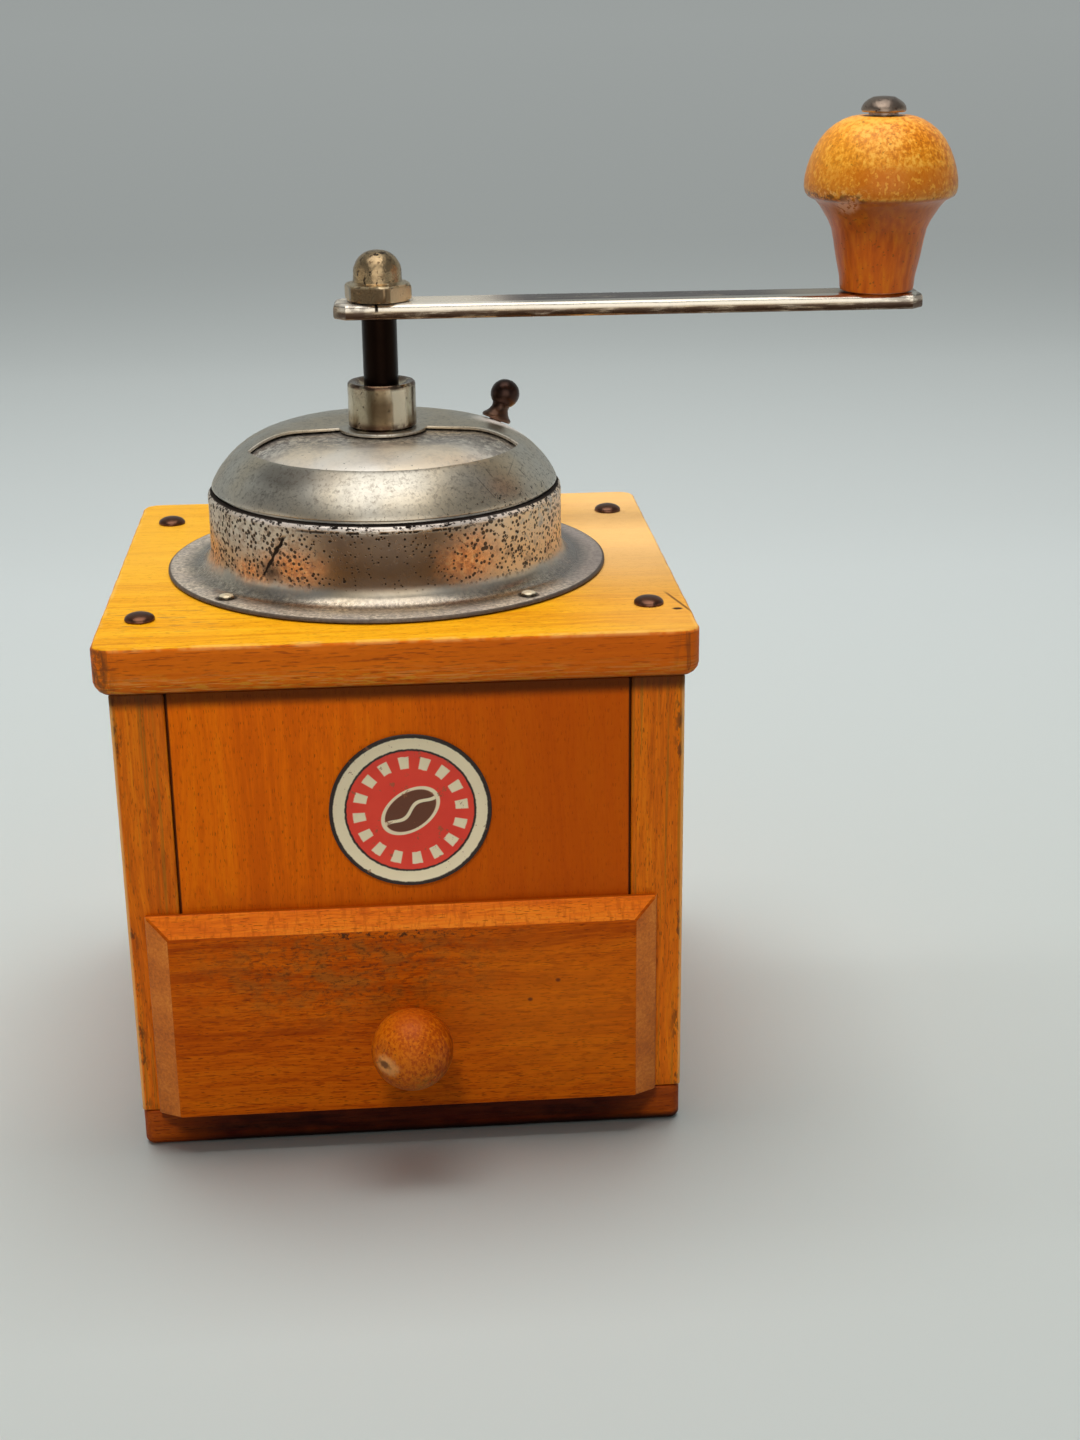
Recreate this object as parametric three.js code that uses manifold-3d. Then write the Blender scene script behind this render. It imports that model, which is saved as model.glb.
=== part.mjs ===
// Manual coffee grinder: a wooden box mill with a sheet-metal hopper, a turning dome and a hand crank.
// Millimetres. Z is up, the drawer faces -Y, and the origin is the middle of the box's underside.
import * as THREE from 'three';
import { ConvexGeometry } from 'three/addons/geometries/ConvexGeometry.js';
import { mergeVertices } from 'three/addons/utils/BufferGeometryUtils.js';
import Module from 'manifold-3d';

const wasm = await Module();
wasm.setup();

// Driving dimensions of the box
const boxWidth = 125;
const boxDepth = 121;
const baseThickness = 9;
const wallHeight = 101.8;
const topThickness = 11.2;
const topOverhang = 3.1;
const sideThickness = 11.8;
const panelThickness = 10;
const drawerBayHeight = 47;

// Driving dimensions of the mill, whose axis stands a little left of the box's middle
const millX = -1.4;
const hopperRadius = 42;
const hopperHeight = 19.6;
const flangeRadius = 52.3;
const hopperSheet = 1;
const lidHeight = 13.2;
const shaftRadius = 4.1;
const shaftShow = 15.1;

// Driving dimensions of the crank
const armReach = 116.5;
const armWidth = 13;
const armThickness = 3.5;
const crankRestAngle = -1.1;
const handleRadius = 17.6;
const handleHeight = 39.3;

// Clearances: glued or screwed pieces, running pieces, and pieces that rest on a turned or moving one
const glueGap = 0.15;
const runningGap = 0.35;
const seatGap = 0.3;
const cutOverrun = 2;

// Levels
const ceilingZ = baseThickness + wallHeight;
const deckZ = ceilingZ + topThickness;
const hopperTopZ = deckZ + hopperHeight;
const lidRimZ = hopperTopZ + seatGap;
const crownZ = lidRimZ + lidHeight;
const bayHalfWidth = boxWidth / 2 - sideThickness;
const bayTopZ = baseThickness + drawerBayHeight;
const frontY = -boxDepth / 2;
const backY = boxDepth / 2;

// Facets round a large turned piece, a middling one and a small one
const fineFacets = 40;
const mediumFacets = 20;
const smallFacets = 8;

// Materials
function finish(color, roughness, metalness) {
  return new THREE.MeshStandardMaterial({ color, roughness, metalness });
}
const beech = finish(0xc9771f, 0.42, 0);
const beechTop = finish(0xe8a53a, 0.38, 0);
const rawWood = finish(0xcfa36a, 0.7, 0);
const turnedWood = finish(0xd07e24, 0.4, 0);
const nickel = finish(0x9a968c, 0.35, 0.9);
const dullNickel = finish(0x85827a, 0.5, 0.85);
const yellowNickel = finish(0xa0916a, 0.35, 0.9);
const darkSteel = finish(0x2b2320, 0.45, 0.7);
const castIron = finish(0x4a4744, 0.6, 0.7);
const brownMetal = finish(0x4a3a36, 0.45, 0.6);
const badgePrint = finish(0xc63a2a, 0.5, 0);

// Solids

function toSolid(geometry) {
  const bare = geometry.index ? geometry.toNonIndexed() : geometry.clone();
  bare.deleteAttribute('normal');
  bare.deleteAttribute('uv');
  const merged = mergeVertices(bare);
  const vertProperties = new Float32Array(merged.attributes.position.array);
  const triVerts = new Uint32Array(merged.index.array);
  return new wasm.Manifold(new wasm.Mesh({ numProp: 3, vertProperties, triVerts }));
}

function toGeometry(solid) {
  const data = solid.getMesh();
  const geometry = new THREE.BufferGeometry();
  geometry.setAttribute('position', new THREE.BufferAttribute(new Float32Array(data.vertProperties), 3));
  geometry.setIndex(new THREE.BufferAttribute(new Uint32Array(data.triVerts), 1));
  const flat = geometry.toNonIndexed();
  flat.computeVertexNormals();
  return flat;
}

function cut(geometry, ...tools) {
  let solid = toSolid(geometry);
  for (const tool of tools) {
    solid = solid.subtract(toSolid(tool));
  }
  return toGeometry(solid);
}

function join(geometry, ...others) {
  let solid = toSolid(geometry);
  for (const other of others) {
    solid = solid.add(toSolid(other));
  }
  return toGeometry(solid);
}

// A block between two limits on each axis
function block([x0, x1], [y0, y1], [z0, z1]) {
  const geometry = new THREE.BoxGeometry(x1 - x0, y1 - y0, z1 - z0);
  return geometry.translate((x0 + x1) / 2, (y0 + y1) / 2, (z0 + z1) / 2);
}

// An upright rod round the point x, y
function rod(radius, [z0, z1], x = 0, y = 0, facets = smallFacets) {
  const geometry = new THREE.CylinderGeometry(radius, radius, z1 - z0, facets);
  return geometry.rotateX(Math.PI / 2).translate(x, y, (z0 + z1) / 2);
}

// A solid of revolution about Z from a closed outline of [radius, z] points
function turned(outline, facets) {
  const points = outline.map(([radius, z]) => new THREE.Vector2(radius, z));
  if (THREE.ShapeUtils.area(points) < 0) {
    points.reverse();
  }
  if (points[0].x > 0 || points[points.length - 1].x > 0) {
    points.push(points[0].clone());
  }
  return new THREE.LatheGeometry(points, facets).rotateX(Math.PI / 2);
}

// Points of a quarter or other arc about a centre, as [radius, z] points, from one angle to another
function arc([centreR, centreZ], radius, fromDegrees, toDegrees, steps) {
  const points = [];
  for (let i = 0; i <= steps; i += 1) {
    const angle = THREE.MathUtils.degToRad(fromDegrees + ((toDegrees - fromDegrees) * i) / steps);
    points.push([centreR + radius * Math.cos(angle), centreZ + radius * Math.sin(angle)]);
  }
  return points;
}

// A plate with round corners and rolled edges, lying between two levels
function softPlate(width, depth, corner, [z0, z1], roll) {
  const halfX = width / 2 - roll;
  const halfY = depth / 2 - roll;
  const r = corner - roll;
  const shape = new THREE.Shape();
  shape.absarc(halfX - r, halfY - r, r, 0, Math.PI / 2, false);
  shape.absarc(r - halfX, halfY - r, r, Math.PI / 2, Math.PI, false);
  shape.absarc(r - halfX, r - halfY, r, Math.PI, 1.5 * Math.PI, false);
  shape.absarc(halfX - r, r - halfY, r, 1.5 * Math.PI, 2 * Math.PI, false);
  const geometry = new THREE.ExtrudeGeometry(shape, {
    depth: z1 - z0 - 2 * roll,
    bevelEnabled: true,
    bevelThickness: roll,
    bevelSize: roll,
    bevelSegments: 2,
    curveSegments: 3,
  });
  return geometry.translate(0, 0, z0 + roll);
}

// A toothed solid from [z, radius] rings: each second edge is set in by the depth, or out if it is negative
function fluted(rings, depth, teeth, twistDegrees) {
  const count = 2 * teeth;
  const positions = [];
  const [firstZ] = rings[0];
  const [lastZ] = rings[rings.length - 1];
  const corner = (ring, i) => {
    const [z, radius] = rings[ring];
    const turn = (THREE.MathUtils.degToRad(twistDegrees) * (z - firstZ)) / (lastZ - firstZ);
    const angle = (2 * Math.PI * (i % count)) / count + turn;
    const r = i % 2 ? radius - depth : radius;
    return [r * Math.cos(angle), r * Math.sin(angle), z];
  };
  for (let i = 0; i < count; i += 1) {
    for (let ring = 0; ring < rings.length - 1; ring += 1) {
      const a = corner(ring, i);
      const b = corner(ring, i + 1);
      const c = corner(ring + 1, i + 1);
      const d = corner(ring + 1, i);
      positions.push(...a, ...b, ...c, ...a, ...c, ...d);
    }
    positions.push(0, 0, firstZ, ...corner(0, i + 1), ...corner(0, i));
    positions.push(0, 0, lastZ, ...corner(rings.length - 1, i), ...corner(rings.length - 1, i + 1));
  }
  const geometry = new THREE.BufferGeometry();
  geometry.setAttribute('position', new THREE.Float32BufferAttribute(positions, 3));
  return geometry;
}

function piece(name, geometry, material) {
  const mesh = new THREE.Mesh(geometry, material);
  mesh.name = name;
  return mesh;
}

// Wood screws: four hold the top board, and four countersunk ones hold the base board
const screwEndInset = 17.8;
const screwShankRadius = 1.9;
const screwTipLength = 5;
const topScrewLength = 32;
const topScrewHeadRadius = 3.4;
const topScrewHeadHeight = 1.7;
const baseScrewLength = 28;
const baseScrewHeadRadius = 3.6;
const baseScrewHeadDepth = 2.4;
const baseScrewRecess = 0.5;
const screwX = (boxWidth - sideThickness) / 2;
const screwY = boxDepth / 2 - screwEndInset;
const screwPlaces = [[-screwX, -screwY], [screwX, -screwY], [-screwX, screwY], [screwX, screwY]];
const screwHeadShares = [[1, 0], [0.8, 0.65], [0.4, 0.95], [0, 1]];
const smallHeadShares = [[1, 0], [0.7, 0.7], [0, 1]];

// A domed head from its seat to its top, given as shares of its radius and height
function headOutline(shares, radius, height, z0) {
  return shares.map(([r, z]) => [r * radius, z0 + z * height]);
}

function topScrew() {
  const z0 = deckZ + glueGap;
  return turned([
    [0, z0 - topScrewLength],
    [screwShankRadius, z0 - topScrewLength + screwTipLength],
    [screwShankRadius, z0],
    ...headOutline(screwHeadShares, topScrewHeadRadius, topScrewHeadHeight, z0),
  ], smallFacets);
}

function baseScrew() {
  const z0 = baseScrewRecess;
  return turned([
    [0, z0],
    [baseScrewHeadRadius, z0],
    [screwShankRadius, z0 + baseScrewHeadDepth],
    [screwShankRadius, z0 + baseScrewLength - screwTipLength],
    [0, z0 + baseScrewLength],
  ], smallFacets);
}

function screwHole([z0, z1], gap, [x, y]) {
  return rod(screwShankRadius + gap, [z0, z1], x, y);
}

// Box boards

const baseCorner = 2.5;
const baseRoll = 0.8;

function baseBoard() {
  const board = softPlate(boxWidth, boxDepth, baseCorner, [0, baseThickness], baseRoll);
  const sinkTop = baseScrewRecess + baseScrewHeadDepth + glueGap;
  const through = [-cutOverrun, baseThickness + cutOverrun];
  const holes = screwPlaces.map((place) => screwHole(through, runningGap, place));
  const sinks = screwPlaces.map(([x, y]) => turned([
    [0, -cutOverrun],
    [baseScrewHeadRadius + runningGap, -cutOverrun],
    [baseScrewHeadRadius + runningGap, baseScrewRecess],
    [screwShankRadius + runningGap, sinkTop],
    [0, sinkTop],
  ], smallFacets).translate(x, y, 0));
  return cut(board, ...holes, ...sinks);
}

function sideBoard(side) {
  const xs = [bayHalfWidth * side, (boxWidth / 2) * side].sort((a, b) => a - b);
  const board = block(xs, [frontY, backY], [baseThickness + glueGap, ceilingZ]);
  const places = screwPlaces.filter(([x]) => x * side > 0);
  const topPilot = [deckZ - topScrewLength - glueGap, ceilingZ + cutOverrun];
  const basePilot = [0, baseScrewRecess + baseScrewLength + glueGap];
  const topPilots = places.map((place) => screwHole(topPilot, glueGap, place));
  const basePilots = places.map((place) => screwHole(basePilot, glueGap, place));
  return cut(board, ...topPilots, ...basePilots);
}

function frontPanel() {
  const halfWidth = bayHalfWidth - glueGap;
  return block([-halfWidth, halfWidth], [frontY, frontY + panelThickness], [bayTopZ, ceilingZ]);
}

function backPanel() {
  const halfWidth = bayHalfWidth - glueGap;
  const zs = [baseThickness + glueGap, ceilingZ];
  return block([-halfWidth, halfWidth], [backY - panelThickness, backY], zs);
}

// Funnel of the mill: its rim lies in a rebate of the top board, and its neck holds the burr ring
const funnelRimReach = 3.8;
const funnelRimWidth = 4.8;
const funnelHoleGap = 2.5;
const funnelSheet = 1.5;
const funnelDrop = 28;
const coneBottomRadius = 14.2;
const burrGap = 1.2;
const ringWall = 2.75;
const neckWall = 2;
const neckHeight = 18;
const neckLipWidth = 1.95;
const neckLipThickness = 1.5;
const topCorner = 5;
const topRoll = 2.2;
const funnelRimRadius = hopperRadius + funnelRimReach;
const topHoleRadius = funnelRimRadius - funnelRimWidth;
const funnelMouthRadius = topHoleRadius - funnelHoleGap;
const neckInnerRadius = coneBottomRadius + burrGap + ringWall;
const neckOuterRadius = neckInnerRadius + neckWall;
const neckLipRadius = neckInnerRadius - neckLipWidth;
const neckTopZ = deckZ - funnelDrop;
const neckBottomZ = neckTopZ - neckHeight;

function topBoard() {
  const width = boxWidth + 2 * topOverhang;
  const depth = boxDepth + 2 * topOverhang;
  const board = softPlate(width, depth, topCorner, [ceilingZ + glueGap, deckZ], topRoll);
  const through = [ceilingZ - cutOverrun, deckZ + cutOverrun];
  const hole = rod(topHoleRadius, through, millX, 0, fineFacets);
  const rebateFloor = deckZ - funnelSheet - glueGap;
  const rebate = rod(funnelRimRadius + runningGap, [rebateFloor, deckZ + cutOverrun], millX, 0, fineFacets);
  const holes = screwPlaces.map((place) => screwHole(through, runningGap, place));
  const nailSpan = [deckZ - nailLength, deckZ + cutOverrun];
  const nailHoles = nailPlaces.map(([x, y]) => rod(nailRadius + glueGap, nailSpan, x + millX, y));
  return cut(board, hole, rebate, ...holes, ...nailHoles);
}

// Hopper: one spun sheet with a flange, nailed to the top board. Its wall rolls inwards at the top.
const flangeFillet = 4.5;
const hopperLip = 1.7;
const lipRadius = hopperRadius - hopperLip;
const nailInset = 3.9;
const firstNailAngle = -139.5;
const nailRadius = 0.8;
const nailHeadRadius = 1.9;
const nailHeadHeight = 0.9;
const nailLength = 9;
const nailCircle = flangeRadius - nailInset;
const nailPlaces = [0, 1, 2, 3].map((i) => {
  const angle = THREE.MathUtils.degToRad(firstNailAngle + 90 * i);
  return [nailCircle * Math.cos(angle), nailCircle * Math.sin(angle)];
});
const flangeZ = deckZ + glueGap;

function hopperHousing() {
  const filletR = hopperRadius + flangeFillet;
  const filletZ = flangeZ + hopperSheet + flangeFillet;
  const outline = [
    [flangeRadius, flangeZ],
    [flangeRadius, flangeZ + hopperSheet],
    ...arc([filletR, filletZ], flangeFillet, 270, 180, 4),
    ...arc([lipRadius, hopperTopZ - hopperLip], hopperLip, 0, 90, 3),
    ...arc([lipRadius, hopperTopZ - hopperLip], hopperLip - hopperSheet, 90, 0, 2),
    ...arc([filletR, filletZ], flangeFillet + hopperSheet, 180, 270, 4),
  ];
  const through = [deckZ - cutOverrun, flangeZ + hopperSheet + cutOverrun];
  const holes = nailPlaces.map(([x, y]) => rod(nailRadius + glueGap, through, x, y));
  return cut(turned(outline, fineFacets), ...holes);
}

function flangeNail() {
  const z0 = flangeZ + hopperSheet + glueGap;
  return turned([
    [0, deckZ - nailLength + glueGap],
    [nailRadius, deckZ - nailLength + nailRadius + glueGap],
    [nailRadius, z0],
    ...headOutline(smallHeadShares, nailHeadRadius, nailHeadHeight, z0),
  ], smallFacets);
}

// Domes: the turning lid and, inside it, the fixed dome. Both follow one curve from the crown to the rim.
const lidInset = 0.9;
const crownFlatRadius = 20.5;
const domeSheet = 1;
const domeSpacing = 0.6;
const crownHandleShare = 0.72;
const rimHandleShares = [1, 0.08];
const domeSteps = 7;
const lidRadius = hopperRadius - lidInset;
const domeCurve = new THREE.CubicBezierCurve(
  new THREE.Vector2(crownFlatRadius, crownZ),
  new THREE.Vector2(crownFlatRadius + crownHandleShare * (lidRadius - crownFlatRadius), crownZ),
  new THREE.Vector2(rimHandleShares[0] * lidRadius, lidRimZ + rimHandleShares[1] * lidHeight),
  new THREE.Vector2(lidRadius, lidRimZ),
);

// The dome's curve moved inwards, from the axis to the rim, as [radius, z] points
function domeLine(inset) {
  const points = [[0, crownZ - inset]];
  for (let i = 0; i <= domeSteps; i += 1) {
    const at = domeCurve.getPoint(i / domeSteps);
    const along = domeCurve.getTangent(i / domeSteps);
    points.push([at.x + along.y * inset, at.y - along.x * inset]);
  }
  return points;
}

// Half-moon hole of a dome, open towards -Y: its far edges run from its corners back to a ring round the axis
const sleeveWall = 3.9;
const sleeveRadius = shaftRadius + sleeveWall;
const moonMargin = 8.5;
const moonEdgeY = -1.2;
const moonBow = 7.4;
const moonEyeWidth = 2.3;
const moonRadius = lidRadius - moonMargin;
const moonEyeRadius = sleeveRadius + moonEyeWidth;
const innerMoonMargin = 1.2;
const innerMoonEdgeY = -5;
const innerMoonEyeWidth = 5;

function halfMoon(radius, edgeY, eyeRadius) {
  const outer = Math.asin((edgeY - moonBow) / radius);
  const inner = Math.asin(edgeY / eyeRadius);
  const shape = new THREE.Shape();
  shape.absarc(0, 0, radius, outer, -Math.PI - outer, true);
  shape.absarc(0, 0, eyeRadius, -Math.PI - inner, inner, false);
  const geometry = new THREE.ExtrudeGeometry(shape, {
    depth: lidHeight + cutOverrun,
    bevelEnabled: false,
    curveSegments: mediumFacets,
  });
  return geometry.translate(0, 0, lidRimZ);
}

const eyeHoleInset = 0.7;
const eyeHoleRadius = sleeveRadius - eyeHoleInset;
const knobAngle = 24;
const knobCurveShare = 0.25;
const knobStemRadius = 1.5;
const knobBaseRadius = 3.6;
const knobNeckRadius = 2.1;
const knobBallRadius = 3.5;
const knobHeight = 10.2;
const knobNeckHeight = 4;
const knobBaseThickness = 1.1;

// Stands an upright piece at the knob's place, square to the lid's sheet
function atKnob(geometry) {
  const at = domeCurve.getPoint(knobCurveShare);
  const along = domeCurve.getTangent(knobCurveShare);
  const tilt = Math.atan2(-along.y, along.x);
  return geometry.rotateY(tilt).translate(at.x, 0, at.y).rotateZ(THREE.MathUtils.degToRad(knobAngle));
}

function lidDome() {
  const inside = domeLine(domeSheet).reverse();
  const shell = turned([...domeLine(0), ...inside], fineFacets);
  const eyeHole = rod(eyeHoleRadius, [lidRimZ, crownZ + cutOverrun], 0, 0, mediumFacets);
  const stemHole = atKnob(rod(knobStemRadius + runningGap, [-domeSheet - cutOverrun, cutOverrun]));
  return cut(shell, halfMoon(moonRadius, moonEdgeY, moonEyeRadius), eyeHole, stemHole);
}

function lidKnob() {
  const ballZ = knobHeight - knobBallRadius;
  const z0 = seatGap;
  const ballStart = THREE.MathUtils.radToDeg(Math.acos(knobNeckRadius / knobBallRadius));
  return atKnob(turned([
    [0, -domeSheet - glueGap],
    [knobStemRadius, -domeSheet - glueGap],
    [knobStemRadius, z0],
    [knobBaseRadius, z0],
    [knobBaseRadius, z0 + knobBaseThickness / 2],
    [(knobBaseRadius + knobNeckRadius) / 2, z0 + knobBaseThickness],
    [knobNeckRadius, z0 + (knobBaseThickness + knobNeckHeight) / 2],
    ...arc([0, ballZ], knobBallRadius, -ballStart, 90, 6),
  ], smallFacets));
}

const skirtHeight = 6;

function innerDome() {
  const inset = domeSheet + domeSpacing;
  const skirtRadius = hopperRadius - hopperSheet - glueGap;
  const skirtZ = hopperTopZ - skirtHeight;
  const outside = domeLine(inset);
  const inside = domeLine(inset + domeSheet).reverse();
  const outline = [
    ...outside,
    [lipRadius - glueGap, hopperTopZ - hopperSheet],
    [skirtRadius, hopperTopZ - hopperLip],
    [skirtRadius, skirtZ],
    [skirtRadius - domeSheet, skirtZ],
    [skirtRadius - domeSheet, hopperTopZ - hopperLip - domeSheet / 2],
    [lipRadius - glueGap - domeSheet, hopperTopZ - hopperSheet - domeSheet / 2],
    ...inside,
  ];
  const moonR = moonRadius - innerMoonMargin;
  const moon = halfMoon(moonR, innerMoonEdgeY, sleeveRadius + innerMoonEyeWidth).rotateZ(Math.PI);
  const hole = rod(sleeveThreadRadius + glueGap, [lidRimZ, crownZ], 0, 0, mediumFacets);
  return cut(turned(outline, fineFacets), moon, hole);
}

// Bearing sleeve: its shoulder keeps the lid down, and a nut under the fixed dome clamps it
const sleeveHeight = 10.4;
const sleeveRound = 0.6;
const sleeveThreadWall = 1.15;
const sleeveNutWall = 1.65;
const sleeveNutThickness = 3;
const sleeveThreadEnd = 1;
const sleeveThreadRadius = shaftRadius + runningGap + sleeveThreadWall;
const sleeveTopZ = crownZ + seatGap + sleeveHeight;
const innerCrownZ = crownZ - domeSheet - domeSpacing;
const sleeveNutTopZ = innerCrownZ - domeSheet - glueGap;

function bearingSleeve() {
  const bore = shaftRadius + runningGap;
  const shoulderZ = crownZ + seatGap;
  const seatZ = innerCrownZ + glueGap;
  const endZ = sleeveNutTopZ - sleeveNutThickness - sleeveThreadEnd;
  return turned([
    [bore, endZ],
    [sleeveThreadRadius, endZ],
    [sleeveThreadRadius, seatZ],
    [eyeHoleRadius - runningGap, seatZ],
    [eyeHoleRadius - runningGap, shoulderZ],
    [sleeveRadius, shoulderZ],
    [sleeveRadius, sleeveTopZ - sleeveRound],
    [sleeveRadius - sleeveRound, sleeveTopZ],
    [bore + sleeveRound, sleeveTopZ],
    [bore, sleeveTopZ - sleeveRound],
  ], mediumFacets);
}

// An upright hexagon bar, given across its flats
function hexagon(flats, [z0, z1], turnDegrees) {
  const radius = flats / Math.sqrt(3);
  return rod(radius, [z0, z1], 0, 0, 6).rotateZ(THREE.MathUtils.degToRad(turnDegrees));
}

function sleeveNut() {
  const z1 = sleeveNutTopZ;
  const z0 = z1 - sleeveNutThickness;
  const bore = rod(sleeveThreadRadius + glueGap, [z0 - cutOverrun, z1 + cutOverrun], 0, 0, mediumFacets);
  return cut(hexagon(2 * (sleeveThreadRadius + sleeveNutWall), [z0, z1], 0), bore);
}

// Grinding parts
const burrTeeth = 14;
const burrToothDepth = 0.9;
const burrTwist = 24;
const coneHeight = 18;
const coneTopRadius = 6.5;
const coneRise = 3;
const ringHeight = 14.3;
const ringThroatHeight = 10;
const ringMouthFlare = 0.3;
const spigotInset = 0.6;
const ringZ = neckBottomZ + neckLipThickness + glueGap;
const coneZ = neckBottomZ + coneRise;
const coneSlope = (coneBottomRadius - coneTopRadius) / coneHeight;
const spigotRadius = shaftRadius - spigotInset;
const conePinRadius = 1.2;
const conePinInset = 0.3;
const conePinDrop = 3.5;
const conePinZ = coneZ + coneHeight - conePinDrop;
const rivetRadius = 1.5;
const rivetHeadRadius = 2.8;
const rivetHeadHeight = 1.4;
const rivetRise = 8;
const ringScrewRadius = 1.6;
const ringScrewStandout = 1.5;

// A lying rod between two distances from the axis, pointing along +X and then turned about Z
function spoke(radius, [r0, r1], z, turnDegrees) {
  const bar = rod(radius, [r0, r1]).rotateY(Math.PI / 2);
  return bar.translate(0, 0, z).rotateZ(THREE.MathUtils.degToRad(turnDegrees));
}

function millFunnel() {
  const rimZ = deckZ - funnelSheet;
  const lipZ = neckBottomZ + neckLipThickness;
  const outline = [
    [funnelRimRadius, rimZ],
    [funnelRimRadius, deckZ],
    [funnelMouthRadius, deckZ],
    [neckInnerRadius, neckTopZ],
    [neckInnerRadius, lipZ],
    [neckLipRadius, lipZ],
    [neckLipRadius, neckBottomZ],
    [neckOuterRadius, neckBottomZ],
    [neckOuterRadius, neckTopZ - funnelSheet],
    [funnelMouthRadius + funnelSheet, rimZ],
  ];
  const z = neckBottomZ + rivetRise;
  const through = [neckLipRadius, neckOuterRadius + cutOverrun];
  const rivetHoles = [0, 180].map((turn) => spoke(rivetRadius + glueGap, through, z, turn));
  const screwHoles = [90, 270].map((turn) => spoke(ringScrewRadius + glueGap, through, z, turn));
  return cut(turned(outline, fineFacets), ...rivetHoles, ...screwHoles);
}

function burrRing() {
  const z1 = ringZ + ringHeight;
  const throatZ = ringZ + ringThroatHeight;
  const mouthR = coneBottomRadius + ringMouthFlare;
  const radiusAt = (z) => coneBottomRadius - coneSlope * (z - coneZ) + burrGap;
  const body = rod(neckInnerRadius - glueGap, [ringZ, z1], 0, 0, mediumFacets);
  const grinding = fluted([
    [ringZ - cutOverrun, radiusAt(ringZ - cutOverrun)],
    [throatZ, radiusAt(throatZ)],
    [z1, mouthR],
    [z1 + cutOverrun, mouthR],
  ], -burrToothDepth, burrTeeth, -burrTwist);
  return cut(body, grinding);
}

function ringScrew(turnDegrees) {
  const reach = [neckInnerRadius, neckOuterRadius + ringScrewStandout];
  return spoke(ringScrewRadius, reach, neckBottomZ + rivetRise, turnDegrees);
}

function burrCone() {
  const z1 = coneZ + coneHeight;
  const rings = [[coneZ, coneBottomRadius], [z1, coneTopRadius]];
  const cone = fluted(rings, burrToothDepth, burrTeeth, burrTwist);
  const bore = rod(spigotRadius + glueGap, [coneZ - cutOverrun, z1 + cutOverrun], 0, 0, mediumFacets);
  const reach = [-coneBottomRadius, coneBottomRadius];
  return cut(cone, bore, spoke(conePinRadius + glueGap, reach, conePinZ, 0));
}

function conePin() {
  const reach = coneTopRadius - conePinInset;
  return spoke(conePinRadius, [-reach, reach], conePinZ, 0);
}

// Lower bearing: a strap riveted to the neck, a knurled nut on it, and a thrust pin that cannot turn
const bridgeWidth = 12;
const bridgeThickness = 3;
const bridgeDrop = 12;
const legHeight = 24;
const thrustFlats = 4.4;
const thrustRadius = 3;
const thrustHeadWall = 2.15;
const thrustHeadHeight = 4;
const thrustTail = 6;
const pivotRadius = 2.1;
const cupDepth = 2.7;
const adjustNutRadius = 9;
const adjustNutThickness = 5;
const adjustNutTeeth = 18;
const knurlDepth = 0.5;
const cupRadius = pivotRadius + runningGap;
const bridgeZ = neckBottomZ - bridgeDrop;
const barTopZ = bridgeZ + bridgeThickness;
const adjustNutZ = barTopZ + seatGap;
const thrustHeadZ = adjustNutZ + adjustNutThickness + 2 * seatGap;
const thrustTopZ = thrustHeadZ + thrustHeadHeight;
const legX = neckOuterRadius + glueGap;

function bearingBridge() {
  const ys = [-bridgeWidth / 2, bridgeWidth / 2];
  const outerX = legX + bridgeThickness;
  const legTopZ = bridgeZ + legHeight;
  const solid = block([-outerX, outerX], ys, [bridgeZ, legTopZ]);
  const roomYs = [ys[0] - cutOverrun, ys[1] + cutOverrun];
  const room = block([-legX, legX], roomYs, [barTopZ, legTopZ + cutOverrun]);
  const half = thrustFlats / 2 + runningGap;
  const keyHole = block([-half, half], [-half, half], [bridgeZ - cutOverrun, barTopZ + cutOverrun]);
  const reach = [neckInnerRadius, outerX + cutOverrun];
  const z = neckBottomZ + rivetRise;
  const rivetHoles = [0, 180].map((turn) => spoke(rivetRadius + glueGap, reach, z, turn));
  return cut(solid, room, keyHole, ...rivetHoles);
}

function bridgeRivet(turnDegrees) {
  const headR = legX + bridgeThickness + glueGap;
  const start = neckInnerRadius + glueGap;
  const rivet = turned([
    [0, start],
    [rivetRadius, start],
    [rivetRadius, headR],
    ...headOutline(smallHeadShares, rivetHeadRadius, rivetHeadHeight, headR),
  ], smallFacets);
  const lying = rivet.rotateY(Math.PI / 2).translate(0, 0, neckBottomZ + rivetRise);
  return lying.rotateZ(THREE.MathUtils.degToRad(turnDegrees));
}

function adjustingNut() {
  const z1 = adjustNutZ + adjustNutThickness;
  const rings = [[adjustNutZ, adjustNutRadius], [z1, adjustNutRadius]];
  const knurled = fluted(rings, knurlDepth, adjustNutTeeth, 0);
  const through = [adjustNutZ - cutOverrun, z1 + cutOverrun];
  return cut(knurled, rod(thrustRadius + runningGap, through, 0, 0, mediumFacets));
}

function thrustPin() {
  const headR = cupRadius + thrustHeadWall;
  const half = thrustFlats / 2;
  const flats = block([-half, half], [-half, half], [bridgeZ - thrustTail, adjustNutZ]);
  const round = turned([
    [0, barTopZ],
    [thrustRadius, barTopZ],
    [thrustRadius, thrustHeadZ],
    [headR, thrustHeadZ],
    [headR, thrustTopZ],
    [cupRadius, thrustTopZ],
    [cupRadius, thrustTopZ - cupDepth],
    [0, thrustTopZ - cupDepth],
  ], smallFacets);
  return join(round, flats);
}

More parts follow.
